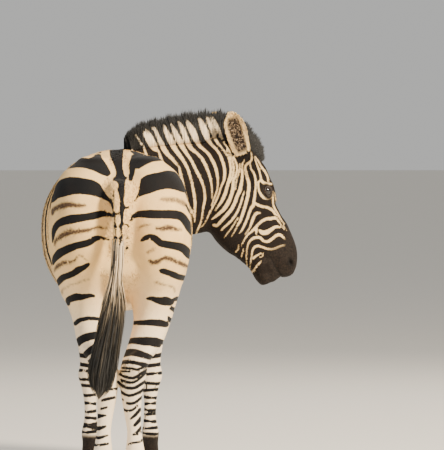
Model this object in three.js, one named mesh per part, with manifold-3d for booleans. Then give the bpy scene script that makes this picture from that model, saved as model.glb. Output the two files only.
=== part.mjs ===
// A plains zebra, standing square with its neck swung to its right and its head lowered in profile.
// Millimetres, +Z up. The animal faces -Y, its left side is +X, and its soles rest on z = 0.
// Flesh is modelled whole from lofts, then parted by thin cuts into the pieces a person would name.

import * as THREE from 'three';
import { LoftGeometry } from 'three/addons/geometries/LoftGeometry.js';
import { mergeVertices } from 'three/addons/utils/BufferGeometryUtils.js';
import Module from 'manifold-3d';

const wasm = await Module();
wasm.setup();

// ---------------------------------------------------------------- driving dimensions

const WITHERS_HEIGHT = 1264; // top of the shoulders, without the mane
const CROUP_HEIGHT = 1268; // top of the hips
const TAIL_HEAD_HEIGHT = 1165; // where the tail leaves the rump
const BELLY_HEIGHT = 652; // lowest line of the belly
const RUMP_HALF_WIDTH = 262; // widest place of the haunches
const BARREL_HALF_WIDTH = 289; // widest place of the belly
const BARREL_SHIFT = 12; // the trunk bows to the left, away from the turned neck
const HOCK_HEIGHT = 487; // point of the hock
const KNEE_HEIGHT = 392; // middle of the front knee
const FETLOCK_HEIGHT = 172; // middle of the fetlock joints
const CORONET_HEIGHT = 82; // top of the hoof at the toe
const HIND_TRACK = { left: 57, right: 49 }; // where each hind leg stands, from the midline
const FORE_TRACK = { left: 117, right: 118 }; // where each front leg stands
const THIGH_BOW = { left: -6, right: 6 }; // how far each thigh leans outwards
const HIND_HOOF = { width: 80, centre: 516 };
const FORE_HOOF = { width: 88, centre: -460 };
const HEAD_POLL = [-480, -700, 1285]; // top of the head, between the ears
const HEAD_TURN = 74; // degrees that the head points to the right of the body
const HEAD_DROP = 69.8; // degrees that the face line points below the horizon
const EYE = { radius: 21, down: 199, above: 5, sideways: 70 }; // down the face, above its axis, off the midline
const NOSTRIL = { long: 17, wide: 9, deep: 16, down: 497, above: 8, sideways: 50 };
const EAR_ROOT = { down: 31, above: -36, sideways: 76 };
const TAIL_HAIR_TOP = 800; // where the long hair hides the dock
const GAP = 0.3; // clearance between neighbouring pieces

// Brings the middle of the bounding box over the origin, with the soles on the floor.
const CENTRE_SHIFT = [198, 31, 0];

// ---------------------------------------------------------------- lofts and solids

const degrees = THREE.MathUtils.degToRad;

// A curve that passes through the given triples, one step of its parameter for each.
const through = (triples) => new THREE.CatmullRomCurve3(
  triples.map((triple) => new THREE.Vector3(...triple)), false, 'catmullrom', 0.5);

const signedPower = (value, power) => Math.sign(value) * Math.abs(value) ** power;

// A body or limb. Each station is [x, y, z, half width, upper depth, lower depth, squareness, turn, tilt].
// Its section is a superellipse about (x, y, z) whose upper and lower halves have their own depths.
// The sections stand square to the path and face the way that turn says, in degrees to the right.
// On a level loft they lie flat, upper means forwards, and tilt is the rise of the section per unit forwards.
// Ends are the lengths of the domes that close the loft, and grow swells the whole loft.
function loft(stations, { steps = 1, sides = 20, level = false, grow = 0, ends = [0, 0] } = {}) {
  const place = through(stations.map((station) => station.slice(0, 3)));
  const size = through(stations.map((station) => station.slice(3, 6)));
  const form = through(stations.map(([, , , , , , square = 2.2, turn = 0, tilt = 0]) => [square, turn, tilt]));
  const domeRings = [0.9, 0.5].map((share) => share * Math.PI / 2);
  const sections = [];

  const addSection = (t, shrink, beyond) => {
    const centre = place.getPoint(t);
    const [half, upper, lower] = size.getPoint(t).toArray();
    const [square, turn, tilt] = form.getPoint(t).toArray();
    const along = level ? new THREE.Vector3(0, 0, -1) : place.getTangent(t);
    const side = new THREE.Vector3(Math.cos(degrees(turn)), -Math.sin(degrees(turn)), 0);
    side.addScaledVector(along, -side.dot(along)).normalize();
    const up = new THREE.Vector3().crossVectors(along, side);
    centre.addScaledVector(along, beyond);
    sections.push(Array.from({ length: sides }, (_, i) => {
      const angle = (i / sides) * 2 * Math.PI;
      const across = signedPower(Math.cos(angle), 2 / square);
      const height = signedPower(Math.sin(angle), 2 / square);
      const depth = height > 0 ? upper : lower;
      const rise = (depth + grow) * height * shrink;
      const point = centre.clone();
      point.addScaledVector(side, (half + grow) * across * shrink);
      point.addScaledVector(up, rise);
      if (level) point.z += tilt * rise;
      return point;
    }));
  };

  if (ends[0] > 0) for (const lift of domeRings) addSection(0, Math.cos(lift), -(ends[0] + grow) * Math.sin(lift));
  const spans = (stations.length - 1) * steps;
  for (let i = 0; i <= spans; i++) {
    const lengthening = (i === spans && ends[1] === 0 ? grow : 0) - (i === 0 && ends[0] === 0 ? grow : 0);
    addSection(i / spans, 1, lengthening);
  }
  if (ends[1] > 0) {
    for (const lift of domeRings.toReversed()) addSection(1, Math.cos(lift), (ends[1] + grow) * Math.sin(lift));
  }
  return new LoftGeometry(sections, { capStart: true, capEnd: true });
}

function solid(geometry, matrix = new THREE.Matrix4()) {
  const bare = new THREE.BufferGeometry();
  bare.setAttribute('position', geometry.attributes.position);
  bare.setIndex(geometry.index);
  const merged = mergeVertices(bare.applyMatrix4(matrix), 1e-3);
  return new wasm.Manifold(new wasm.Mesh({
    numProp: 3,
    vertProperties: new Float32Array(merged.attributes.position.array),
    triVerts: new Uint32Array(merged.index.array),
  }));
}

const join = (shapes) => shapes.reduce((all, shape) => all.add(shape));

// Cuts can leave slivers beside a piece, so a piece is the largest of what is left.
const largest = (shape) => shape.decompose().reduce((best, each) => (each.volume() > best.volume() ? each : best));

const move = (x, y, z) => new THREE.Matrix4().makeTranslation(x, y, z);
const turnX = (angle) => new THREE.Matrix4().makeRotationX(degrees(angle));
const turnY = (angle) => new THREE.Matrix4().makeRotationY(degrees(angle));
const turnZ = (angle) => new THREE.Matrix4().makeRotationZ(degrees(angle));
const chain = (...matrices) => matrices.reduce((all, matrix) => all.multiply(matrix), new THREE.Matrix4());

// ---------------------------------------------------------------- trunk and neck

const TRUNK = [
  [4, 626, 998, 50, 100, 95],
  [4, 590, 998, 135, TAIL_HEAD_HEIGHT - 996, 175],
  [4, 500, 985, 205, 243, 235],
  [4, 380, 980, 245, CROUP_HEIGHT - 982, 270],
  [6, 240, 975, 262, CROUP_HEIGHT - 975, 290],
  [10, 90, 965, 281, 284, 303],
  [BARREL_SHIFT, -60, 960, BARREL_HALF_WIDTH, 282, 960 - BELLY_HEIGHT],
  [10, -200, 965, 278, 294, 303],
  [4, -330, 985, 238, WITHERS_HEIGHT - 985, 300],
  [0, -450, 985, 200, 268, 265],
  [0, -550, 970, 150, 200, 190],
  [0, -610, 950, 90, 120, 110],
];

const NECK = [
  [2, -240, 1035, 165, 215, 250, 2.2, 0],
  [0, -380, 1040, 146, 222, 245, 2.2, 5],
  [-25, -490, 1060, 122, 212, 228, 2.2, 28],
  [-90, -570, 1080, 104, 198, 205, 2.2, 48],
  [-180, -625, 1098, 96, 188, 190, 2.2, 62],
  [-275, -656, 1108, 92, 182, 184, 2.2, 68],
  [-365, -680, 1112, 90, 176, 172, 2.2, 72],
  [-430, -700, 1108, 84, 165, 150, 2.2, 74],
];

// ---------------------------------------------------------------- legs

// Stations from the top down as [x, y, z, half width, forwards, backwards], drawn for the left side.
// Above the gaskin a hind leg leans with bow, and below it the leg stands where its track says.
function hindLegStations(track, bow) {
  return [
    [88, 398, 1222, 72, 110, 110],
    [104, 408, 1178, 110, 165, 170],
    [115, 415, 1110, 131, 205, 210],
    [RUMP_HALF_WIDTH - 137, 425, 1000, 137, 235, 238],
    [RUMP_HALF_WIDTH - 136, 415, 900, 134, 235, 236],
    [128, 400, 810, 115, 215, 215],
    [122, 395, 745, 96, 185, 178],
    [116 + bow, 410, 685, 80, 150, 143],
    [108 + bow, 445, 630, 70, 118, 118],
    [38 + bow / 2 + track, 505, 560, 65, 95, 105],
    [12 + track, 560, 510, 55, 88, 94],
    [track, 575, HOCK_HEIGHT - 15, 52, 82, 80],
    [track - 4, 572, 430, 50, 70, 62],
    [track - 7, 572, 375, 41, 50, 50],
    [track - 4, 572, 315, 34, 37, 37],
    [track + 2, 571, 250, 30, 36, 36],
    [track + 4, 568, 205, 34, 40, 42],
    [track + 5, 562, FETLOCK_HEIGHT, 38, 44, 46],
    [track + 5, 546, 130, 33, 38, 38],
    ...pasternEnd(track + 5, HIND_HOOF),
  ];
}

function foreLegStations(track) {
  return [
    [80, -330, 1190, 50, 60, 60],
    [115, -345, 1120, 96, 110, 110],
    [136, -375, 1010, 104, 160, 150],
    [148, -405, 910, 94, 185, 160],
    [150, -405, 825, 82, 160, 140],
    [147, -392, 755, 68, 125, 122],
    [track + 23, -393, 685, 58, 95, 92],
    [track + 14, -403, 605, 50, 72, 68],
    [track + 7, -409, 520, 43, 57, 56],
    [track + 1, -410, 445, 39, 50, 48],
    [track + 1, -412, KNEE_HEIGHT, 45, 52, 48],
    [track - 1, -408, 345, 34, 40, 42],
    [track - 3, -405, 290, 27, 33, 35],
    [track - 4, -404, 235, 27, 33, 36],
    [track - 3, -403, 200, 32, 37, 42],
    [track - 2, -408, FETLOCK_HEIGHT, 36, 42, 46],
    [track - 1, -426, 130, 32, 36, 38],
    ...pasternEnd(track, FORE_HOOF),
  ];
}

// The pastern's last stations run down inside the hoof.
function pasternEnd(x, { width, centre }) {
  return [
    [x, centre + 5, CORONET_HEIGHT, width * 0.4, 43, 42],
    [x, centre - 1, CORONET_HEIGHT - 20, width * 0.39, 40, 40],
    [x, centre - 8, CORONET_HEIGHT / 2, width * 0.34, 34, 36],
  ];
}

// A hoof is a truncated cone that leans forwards, with a sloping coronet above and a flat sole below.
function hoofStations(x, { width, centre }) {
  return [
    [x, centre, CORONET_HEIGHT - 22, width * 0.43, 47, 43, 2.2, 0, 0.42],
    [x, centre - 12, CORONET_HEIGHT * 0.4, width * 0.46, 50, 46, 2.2, 0, 0.2],
    [x, centre - 26, 0, width * 0.5, 55, 50, 2.2, 0, 0],
  ];
}

const mirrored = (stations, mirror) => stations.map(([x, ...rest]) => [x * mirror, ...rest]);

const legs = ['left', 'right'].flatMap((sideName) => {
  const mirror = sideName === 'left' ? 1 : -1;
  const hindTrack = HIND_TRACK[sideName];
  const foreTrack = FORE_TRACK[sideName];
  return [
    {
      name: `hind_${sideName}`,
      mirror,
      stations: mirrored(hindLegStations(hindTrack, THIGH_BOW[sideName]), mirror),
      hoof: mirrored(hoofStations(hindTrack + 5, HIND_HOOF), mirror),
      root: { x: 0, z: 775, slope: 38, from: 150, to: 900 },
      lengths: [['thigh', 690], ['gaskin', 432], ['cannon', 207], ['pastern', 0]],
    },
    {
      name: `fore_${sideName}`,
      mirror,
      stations: mirrored(foreLegStations(foreTrack), mirror),
      hoof: mirrored(hoofStations(foreTrack, FORE_HOOF), mirror),
      root: { x: 30, z: 790, slope: 26, from: -700, to: -230 },
      lengths: [['forearm', 428], ['cannon', 207], ['pastern', 0]],
    },
  ];
});

// ---------------------------------------------------------------- head

// The head has its own frame: x to its left, -y down the face from the poll, z out of the forehead.
// Each row is [distance from the poll, half width, forehead side, throat side, squareness].
const headRow = ([down, half, top, bottom, square = 2.3]) => {
  const middle = (top + bottom) / 2;
  return [0, -down, middle, half, top - middle, middle - bottom, square];
};

const SKULL = [
  [-35, 62, 8, -150],
  [20, 78, 26, -195, 2.5],
  [80, 90, 45, -225, 2.7],
  [140, 97, 54, -238, 2.8],
  [195, 99, 56, -247, 2.8],
  [250, 90, 55, -250, 2.6],
  [305, 76, 57, -230, 2.4],
  [355, 64, 66, -185],
  [405, 57, 72, -125],
  [455, 56, 67, -76],
  [500, 56, 50, -66],
  [530, 48, 28, -62],
].map(headRow);

const LOWER_JAW = [
  [290, 62, -60, -238],
  [350, 58, -60, -207],
  [410, 50, -56, -173],
  [465, 46, -60, -145],
  [512, 43, -64, -137],
  [540, 36, -66, -126],
].map(headRow);

// An ear is a leaf with a hollow front: rows of [distance from its root, half width, hollow, back].
const EAR = [
  [-30, 26, 22, 22],
  [15, 34, 12, 28],
  [65, 43, -8, 28],
  [110, 45, -15, 26],
  [150, 35, -10, 19],
  [180, 12, -3, 9],
].map(([up, half, hollow, back]) => [0, up, 0, half, hollow, back, 2]);

const headFrame = chain(move(...HEAD_POLL), turnZ(-HEAD_TURN), turnX(HEAD_DROP));

const inHead = (mirror, { sideways, down, above }) => chain(headFrame, move(sideways * mirror, -down, above));

// The hollow of each ear faces outwards, a little to the back, and its tip leans outwards.
const earFrame = (mirror) => chain(inHead(mirror, EAR_ROOT), turnZ(-12 * mirror), turnX(-1), turnY(-80 * mirror));

const earLoft = (mirror, grow) => solid(loft(EAR, { sides: 14, grow }), earFrame(mirror));

const eyeBall = (mirror, grow) => solid(
  new THREE.SphereGeometry(EYE.radius + grow, 14, 10), chain(inHead(mirror, EYE), turnY(90)));

const nostril = (mirror) => solid(
  new THREE.SphereGeometry(1, 10, 7),
  chain(inHead(mirror, NOSTRIL), turnZ(20 * mirror), turnX(-25),
    new THREE.Matrix4().makeScale(NOSTRIL.deep, NOSTRIL.long, NOSTRIL.wide)));

// ---------------------------------------------------------------- mane and tail

const MANE = [
  [-12, -410, 1255, 12, 20, 30, 3, 5],
  [-32, -475, 1275, 20, 52, 30, 3, 25],
  [-85, -548, 1285, 22, 84, 30, 3, 45],
  [-165, -608, 1295, 22, 94, 30, 3, 60],
  [-265, -645, 1304, 22, 106, 30, 3, 68],
  [-355, -670, 1308, 22, 108, 30, 3, 72],
  [-425, -688, 1302, 22, 104, 30, 3, HEAD_TURN],
  [-475, -702, 1276, 20, 80, 36, 3, HEAD_TURN],
  [-505, -711, 1238, 17, 68, 34, 3, HEAD_TURN],
  [-524, -716, 1200, 11, 50, 20, 3, HEAD_TURN],
];

const DOCK = [
  [4, 560, TAIL_HEAD_HEIGHT - 40, 48, 42, 40],
  [4, 610, TAIL_HEAD_HEIGHT - 45, 46, 38, 38],
  [5, 658, TAIL_HEAD_HEIGHT - 62, 38, 32, 32],
  [6, 690, TAIL_HEAD_HEIGHT - 115, 31, 26, 26],
  [7, 704, 960, 24, 20, 20],
  [11, 708, 860, 22, 19, 19],
  [17, 708, TAIL_HAIR_TOP, 21, 18, 18],
];

const TAIL_HAIR = [
  [17, 708, TAIL_HAIR_TOP, 24, 20, 20],
  [21, 708, 730, 34, 26, 26],
  [30, 708, 660, 40, 32, 32],
  [46, 708, 570, 43, 36, 36],
  [64, 708, 475, 46, 38, 38],
  [70, 708, 415, 32, 28, 28],
  [77, 708, 372, 7, 7, 7],
];

// ---------------------------------------------------------------- the whole body of flesh

const flesh = (grow) => join([
  solid(loft(TRUNK, { sides: 22, grow, ends: [15, 30] })),
  solid(loft(NECK, { sides: 20, grow })),
  solid(loft(SKULL, { grow, ends: [20, 26] }), headFrame),
  solid(loft(LOWER_JAW, { sides: 14, grow, ends: [0, 14] }), headFrame),
  ...legs.map(({ stations }) => solid(loft(stations, { level: true, grow, sides: 14, ends: [25, 0] }))),
]);

// ---------------------------------------------------------------- cuts

// A block as wide as the animal, from its far corner to its near one, in a frame of its own.
function block([x0, x1], [y0, y1], [z0, z1], frame, grow) {
  const size = [x1 - x0, y1 - y0, z1 - z0].map((length) => length + 2 * grow);
  const middle = move((x0 + x1) / 2, (y0 + y1) / 2, (z0 + z1) / 2);
  return solid(new THREE.BoxGeometry(...size), chain(frame, middle));
}

const HALF_BLOCK = 450;
const wide = [-HALF_BLOCK, HALF_BLOCK];

// Ahead of a plane from behind the ears to the throat.
const headRegion = (grow) => block(wide, wide, [0, 700], chain(headFrame, move(0, -95, -100), turnX(47.8)), grow);

// Ahead of a plane from the withers to the breast.
const neckRegion = (grow) => block(wide, [-700, 0], [-330, 330], chain(move(-250, -492, 1040), turnX(-22)), grow);

// Below a plane that rises outwards from the midline, on one side of the body.
function legRegion({ mirror, root }, grow) {
  const midline = mirror > 0 ? [4, 500] : [-500, 3];
  const side = block(midline, [root.from, root.to], [-50, 1200], move(0, 0, 0), grow);
  const below = block([-700, 700], [root.from, root.to], [-1500, 0],
    chain(move(root.x * mirror, 0, root.z), turnY(-root.slope * mirror)), grow);
  return side.intersect(below);
}

const above = (height, grow) => block([-700, 700], [-1100, 1100], [height, 1600], move(0, 0, 0), grow);

// ---------------------------------------------------------------- pieces

const pieces = [];
let rest = flesh(0);

// Takes what lies in a region out of the rest of the body, as a piece with a thin gap around it.
function part(name, region) {
  pieces.push({ name, shape: largest(rest.intersect(region(0))) });
  rest = rest.subtract(region(GAP));
}

for (const mirror of [1, -1]) {
  rest = rest.subtract(eyeBall(mirror, GAP)).subtract(nostril(mirror));
}
for (const { hoof } of legs) {
  rest = rest.subtract(solid(loft(hoof, { level: true, sides: 16, grow: GAP })));
}

part('head', headRegion);
part('neck', neckRegion);
for (const leg of legs) {
  const trunkAndOthers = rest.subtract(legRegion(leg, GAP));
  rest = rest.intersect(legRegion(leg, 0));
  for (const [length, bottom] of leg.lengths) part(`${length}_${leg.name}`, (grow) => above(bottom, grow));
  rest = trunkAndOthers;
}
pieces.push({ name: 'trunk', shape: largest(rest) });

const grownFlesh = flesh(GAP);
for (const [sideName, mirror] of [['left', 1], ['right', -1]]) {
  pieces.push({ name: `ear_${sideName}`, shape: largest(earLoft(mirror, 0).subtract(grownFlesh)) });
  pieces.push({ name: `eye_${sideName}`, shape: eyeBall(mirror, 0) });
}
const mane = solid(loft(MANE, { sides: 12 }));
pieces.push({
  name: 'mane',
  shape: largest(mane.subtract(grownFlesh).subtract(earLoft(1, GAP)).subtract(earLoft(-1, GAP))),
});
const tailHair = (grow) => solid(loft(TAIL_HAIR, { sides: 12, grow }));
pieces.push({
  name: 'tail_dock',
  shape: largest(solid(loft(DOCK, { sides: 12 })).subtract(grownFlesh).subtract(tailHair(GAP))),
});
pieces.push({ name: 'tail_hair', shape: tailHair(0).subtract(grownFlesh) });
for (const { name, hoof } of legs) {
  pieces.push({ name: `hoof_${name}`, shape: solid(loft(hoof, { level: true, sides: 16 })) });
}

// ---------------------------------------------------------------- materials and scene graph

const HAIR = { color: 0xd9c4a0, roughness: 0.85 };
const DARK_HAIR = { color: 0x2c2826, roughness: 0.8 };
const HORN = { color: 0x2b2724, roughness: 0.6 };
const EYEBALL = { color: 0x150f0c, roughness: 0.08 };

function finish(name) {
  if (name.startsWith('eye')) return EYEBALL;
  if (name.startsWith('hoof')) return HORN;
  return name === 'mane' || name === 'tail_hair' ? DARK_HAIR : HAIR;
}

function geometryOf(shape) {
  const mesh = shape.getMesh();
  const geometry = new THREE.BufferGeometry();
  geometry.setAttribute('position', new THREE.BufferAttribute(mesh.vertProperties, 3));
  geometry.setIndex(new THREE.BufferAttribute(mesh.triVerts, 1));
  geometry.computeVertexNormals();
  return geometry;
}

const zebra = new THREE.Group();
zebra.position.set(...CENTRE_SHIFT);
for (const { name, shape } of pieces) {
  const mesh = new THREE.Mesh(geometryOf(shape), new THREE.MeshStandardMaterial({ ...finish(name), metalness: 0 }));
  mesh.name = name;
  zebra.add(mesh);
}

export default zebra;
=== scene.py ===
# %% [markdown]
# # A plains zebra
# The CAD step packed the animal as closed solids, one for each part of the body. This script gives it its looks: one
# seamless skin with its stripes, the eyes, the hooves, the stiff mane, the tail and a short coat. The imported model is
# loaded first, because every piece made here has to stay where its solid is.

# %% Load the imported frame
import bpy
import numpy as np
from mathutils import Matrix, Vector


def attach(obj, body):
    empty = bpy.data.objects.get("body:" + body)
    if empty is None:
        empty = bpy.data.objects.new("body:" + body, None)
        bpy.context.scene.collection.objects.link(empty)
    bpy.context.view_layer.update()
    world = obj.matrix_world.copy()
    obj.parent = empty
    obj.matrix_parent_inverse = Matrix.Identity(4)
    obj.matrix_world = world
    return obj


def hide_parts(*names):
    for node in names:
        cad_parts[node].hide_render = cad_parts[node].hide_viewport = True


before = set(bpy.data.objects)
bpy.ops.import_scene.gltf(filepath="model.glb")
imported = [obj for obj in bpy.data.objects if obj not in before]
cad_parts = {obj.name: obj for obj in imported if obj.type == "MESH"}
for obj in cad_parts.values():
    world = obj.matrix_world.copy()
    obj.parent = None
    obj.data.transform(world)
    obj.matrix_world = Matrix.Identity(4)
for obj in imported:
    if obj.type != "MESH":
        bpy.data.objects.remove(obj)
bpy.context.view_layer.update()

# %% [markdown]
# ## The body as sections along paths
# Each part of the body is a loft, a closed outline carried along a path: each row gives a section's middle, its half
# width, its upper and lower depth, how square it is and how it is turned. The rows are those of the solids, in
# millimetres, so the skin can only lie where the solids do. Free modelling would give more detail and less certainty.

# %% Trunk and neck
SHIFT = np.array([198.0, 31.0, 0.0])  # from the body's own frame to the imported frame
TRUNK = [[4, 626, 998, 50, 100, 95], [4, 590, 998, 135, 169, 175], [4, 500, 985, 205, 243, 235],
         [4, 380, 980, 245, 286, 270], [6, 240, 975, 262, 293, 290], [10, 90, 965, 281, 284, 303],
         [12, -60, 960, 289, 282, 308], [10, -200, 965, 278, 294, 303], [4, -330, 985, 238, 279, 300],
         [0, -450, 985, 200, 268, 265], [0, -550, 970, 150, 200, 190], [0, -610, 950, 90, 120, 110]]
NECK = [[2, -240, 1035, 165, 215, 250, 2.2, 0], [0, -380, 1040, 146, 222, 245, 2.2, 5],
        [-25, -490, 1060, 122, 212, 228, 2.2, 28], [-90, -570, 1080, 104, 198, 205, 2.2, 48],
        [-180, -625, 1098, 96, 188, 190, 2.2, 62], [-275, -656, 1108, 92, 182, 184, 2.2, 68],
        [-365, -680, 1112, 90, 176, 172, 2.2, 72], [-430, -700, 1108, 84, 165, 150, 2.2, 74]]
print("trunk", len(TRUNK), "sections, neck", len(NECK))

# %% Head and ears: down the face, half width, top and bottom, squareness
SKULL = [[-35, 62, 8, -150], [20, 78, 26, -195, 2.5], [80, 90, 45, -225, 2.7], [140, 97, 54, -238, 2.8],
         [195, 99, 56, -247, 2.8], [250, 90, 55, -250, 2.6], [305, 76, 57, -230, 2.4], [355, 64, 66, -185],
         [405, 57, 72, -125], [455, 56, 67, -76], [500, 56, 50, -66], [530, 48, 28, -62]]
LOWER_JAW = [[290, 62, -60, -238], [350, 58, -60, -207], [410, 50, -56, -173], [465, 46, -60, -145],
             [512, 43, -64, -137], [540, 36, -66, -126]]
LIPS = [[460, 48, -28, -104], [510, 43, -30, -108], [538, 36, -34, -104]]  # they fill the notch between lip and jaw
EAR = [[-30, 26, 22, 22], [15, 34, 12, 28], [65, 43, -8, 28], [110, 45, -15, 26], [150, 35, -10, 19], [180, 12, -3, 9]]
print("skull", len(SKULL), "sections, jaw", len(LOWER_JAW), "ear", len(EAR))

# %% Mane and tail
MANE = [[-12, -410, 1255, 12, 20, 30, 3, 5], [-32, -475, 1275, 20, 52, 30, 3, 25],
        [-85, -548, 1285, 22, 84, 30, 3, 45], [-165, -608, 1295, 22, 94, 30, 3, 60],
        [-265, -645, 1304, 22, 106, 30, 3, 68], [-355, -670, 1308, 22, 108, 30, 3, 72],
        [-425, -688, 1302, 22, 104, 30, 3, 74], [-475, -702, 1276, 20, 80, 36, 3, 74],
        [-505, -711, 1238, 17, 68, 34, 3, 74], [-524, -716, 1200, 11, 50, 20, 3, 74]]
DOCK = [[4, 560, 1125, 48, 42, 40], [4, 610, 1120, 46, 38, 38], [5, 658, 1103, 38, 32, 32],
        [6, 690, 1050, 31, 26, 26], [7, 704, 960, 24, 20, 20], [11, 708, 860, 22, 19, 19], [17, 708, 800, 21, 18, 18]]
TAIL_HAIR = [[17, 708, 800, 24, 20, 20], [21, 708, 730, 34, 26, 26], [30, 708, 660, 40, 32, 32],
             [46, 708, 570, 43, 36, 36], [64, 708, 475, 46, 38, 38], [70, 708, 415, 32, 28, 28],
             [77, 708, 372, 7, 7, 7]]
print("mane", len(MANE), "sections, dock", len(DOCK), "tail hair", len(TAIL_HAIR))

# %% [markdown]
# ## The legs
# A horse's leg is a column of upper arm or thigh, forearm or gaskin, cannon, pastern and hoof, and every section is
# level. The rows run down the leg. The left and right legs stand a little differently, because the animal has just
# taken a step: a track gives how far out the foot stands, and a bow how far the hind leg bends out at the stifle.

# %% Hind and front legs, from the top down
HIND_HOOF, FORE_HOOF = (80, 516), (88, -460)  # width, and where its middle stands along the body


def pastern_end(x, width, centre):
    """The last three sections above the hoof, each a share of the hoof's width."""
    return [[x, centre + 5, 82, .4 * width, 43, 42], [x, centre - 1, 62, .39 * width, 40, 40],
            [x, centre - 8, 41, .34 * width, 34, 36]]


def hoof_rows(x, width, centre):
    """Three sections from the coronet to the flat sole, each a share of the hoof's width, and how far they tilt."""
    return [[x, centre, 60, .43 * width, 47, 43, 2.2, 0, .42], [x, centre - 12, 32.8, .46 * width, 50, 46, 2.2, 0, .2],
            [x, centre - 26, 0, .5 * width, 55, 50, 2.2, 0, 0]]


def hind_rows(track, bow):
    """Sections from the hip to the fetlock; below the stifle they stand about the track."""
    return [[88, 398, 1222, 72, 110, 110], [104, 408, 1178, 110, 165, 170], [115, 415, 1110, 131, 205, 210],
            [125, 425, 1000, 137, 235, 238], [126, 415, 900, 134, 235, 236], [128, 400, 810, 115, 215, 215],
            [122, 395, 745, 96, 185, 178], [116 + bow, 410, 685, 80, 150, 143], [108 + bow, 445, 630, 70, 118, 118],
            [38 + bow / 2 + track, 505, 560, 65, 95, 105], [12 + track, 560, 510, 55, 88, 94],
            [track, 575, 472, 52, 82, 80], [track - 4, 572, 430, 50, 70, 62], [track - 7, 572, 375, 41, 50, 50],
            [track - 4, 572, 315, 34, 37, 37], [track + 2, 571, 250, 30, 36, 36], [track + 4, 568, 205, 34, 40, 42],
            [track + 5, 562, 172, 38, 44, 46], [track + 5, 546, 130, 33, 38, 38]] + pastern_end(track + 5, *HIND_HOOF)


def fore_rows(track):
    """Sections from the withers to the fetlock; below the elbow they stand about the track."""
    return [[80, -330, 1190, 50, 60, 60], [115, -345, 1120, 96, 110, 110], [136, -375, 1010, 104, 160, 150],
            [148, -405, 910, 94, 185, 160], [150, -405, 825, 82, 160, 140], [147, -392, 755, 68, 125, 122],
            [track + 23, -393, 685, 58, 95, 92], [track + 14, -403, 605, 50, 72, 68],
            [track + 7, -409, 520, 43, 57, 56], [track + 1, -410, 445, 39, 50, 48], [track + 1, -412, 392, 45, 52, 48],
            [track - 1, -408, 345, 34, 40, 42], [track - 3, -405, 290, 27, 33, 35], [track - 4, -404, 235, 27, 33, 36],
            [track - 3, -403, 200, 32, 37, 42], [track - 2, -408, 172, 36, 42, 46],
            [track - 1, -426, 130, 32, 36, 38]] + pastern_end(track, *FORE_HOOF)


def mirrored(rows, side):
    """The same rows with the sideways place times the side, 1 for left and -1 for right."""
    return [[row[0] * side, *row[1:]] for row in rows]


print("hind leg", len(hind_rows(0, 0)), "sections, front leg", len(fore_rows(0)))


# %% Where the head and ears are, and how they are turned
def turn(axis, degrees):
    """A 4 by 4 turn about x, y or z: cosines on the diagonal, sines beside them."""
    c, s = np.cos(np.radians(degrees)), np.sin(np.radians(degrees))
    m, (i, j) = np.eye(4), {"x": (1, 2), "y": (2, 0), "z": (0, 1)}[axis]
    m[i, i], m[j, j], m[i, j], m[j, i] = c, c, -s, s
    return m


def move(x, y, z):
    """A 4 by 4 shift: the three numbers in the last column."""
    m = np.eye(4)
    m[:3, 3] = x, y, z
    return m


def head_rows(rows):
    """Down the face, half width, top and bottom become a section row about the middle of top and bottom."""
    return [[0, -d, (a + b) / 2, w, (a - b) / 2, (a - b) / 2, *(s or [2.3])] for d, w, a, b, *s in rows]


HEAD = move(-480, -700, 1285) @ turn("z", -74) @ turn("x", 69.8)  # at the poll, looking back over the right side


def ear_frame(side):
    """An ear stands on the poll, turned a little outwards and laid over sideways."""
    return HEAD @ move(76 * side, -31, -36) @ turn("z", -12 * side) @ turn("x", -1) @ turn("y", -80 * side)


print("poll at", HEAD[:3, 3])


# %% The lofts that make the skin
def loft(rows, level=False, ends=(0, 0), matrix=None, coat=3.0):
    """Rows filled up with a squareness of 2.2, no turn and no tilt, whether its sections are level, how far each end
    is domed, where it stands, and the depth of its coat."""
    full = [list(row) + [2.2, 0, 0][len(row) - 6:] for row in rows]
    return {"rows": np.array(full, float), "level": level, "ends": ends,
            "matrix": np.eye(4) if matrix is None else matrix, "coat": coat}


EAR_ROWS = [[0, up, 0, half, a, b, 2] for up, half, a, b in EAR]
SKIN_LOFTS = {
    "trunk": loft(TRUNK, ends=(15, 30), coat=6), "neck": loft(NECK, coat=5),
    "skull": loft(head_rows(SKULL), ends=(20, 26), matrix=HEAD, coat=2.5),
    "jaw": loft(head_rows(LOWER_JAW), ends=(0, 14), matrix=HEAD, coat=2.5),
    "lips": loft(head_rows(LIPS), ends=(0, 12), matrix=HEAD, coat=2.5),
    "hind_left": loft(mirrored(hind_rows(57, -6), 1), True, (25, 0), coat=3.5),
    "hind_right": loft(mirrored(hind_rows(49, 6), -1), True, (25, 0), coat=3.5),
    "fore_left": loft(mirrored(fore_rows(117), 1), True, (25, 0)),
    "fore_right": loft(mirrored(fore_rows(118), -1), True, (25, 0)),
    "ear_left": loft(EAR_ROWS, matrix=ear_frame(1), coat=1), "ear_right": loft(EAR_ROWS, matrix=ear_frame(-1), coat=1),
    "dock": loft(DOCK, coat=2)}
print(len(SKIN_LOFTS), "lofts make the skin")

# %% [markdown]
# ## From rows to a surface
# A loft is a function of two numbers, how far along the path and how far round the section. It is worked out for a
# whole grid of both at once. The path between rows is a Catmull-Rom curve, the same that the solids use, because
# straight pieces between rows would show as rings.


# %% The path of a loft
def blend_rows(rows, t):
    """A Catmull-Rom curve: between two rows a cubic, whose slope at each row is half the step from the row before to
    the row after."""
    n = len(rows)
    s = (n - 1) * np.clip(t, 0, 1)
    i = np.minimum(s.astype(int), n - 2)
    w = (s - i)[:, None]
    more = np.vstack([2 * rows[0] - rows[1], rows, 2 * rows[-1] - rows[-2]])
    x0, x1, x2, x3 = (more[i + k] for k in range(4))
    a, b = (x2 - x0) / 2, (x3 - x1) / 2
    return x1 + a * w + (-3 * x1 + 3 * x2 - 2 * a - b) * w ** 2 + (2 * x1 - 2 * x2 + a + b) * w ** 3


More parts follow.
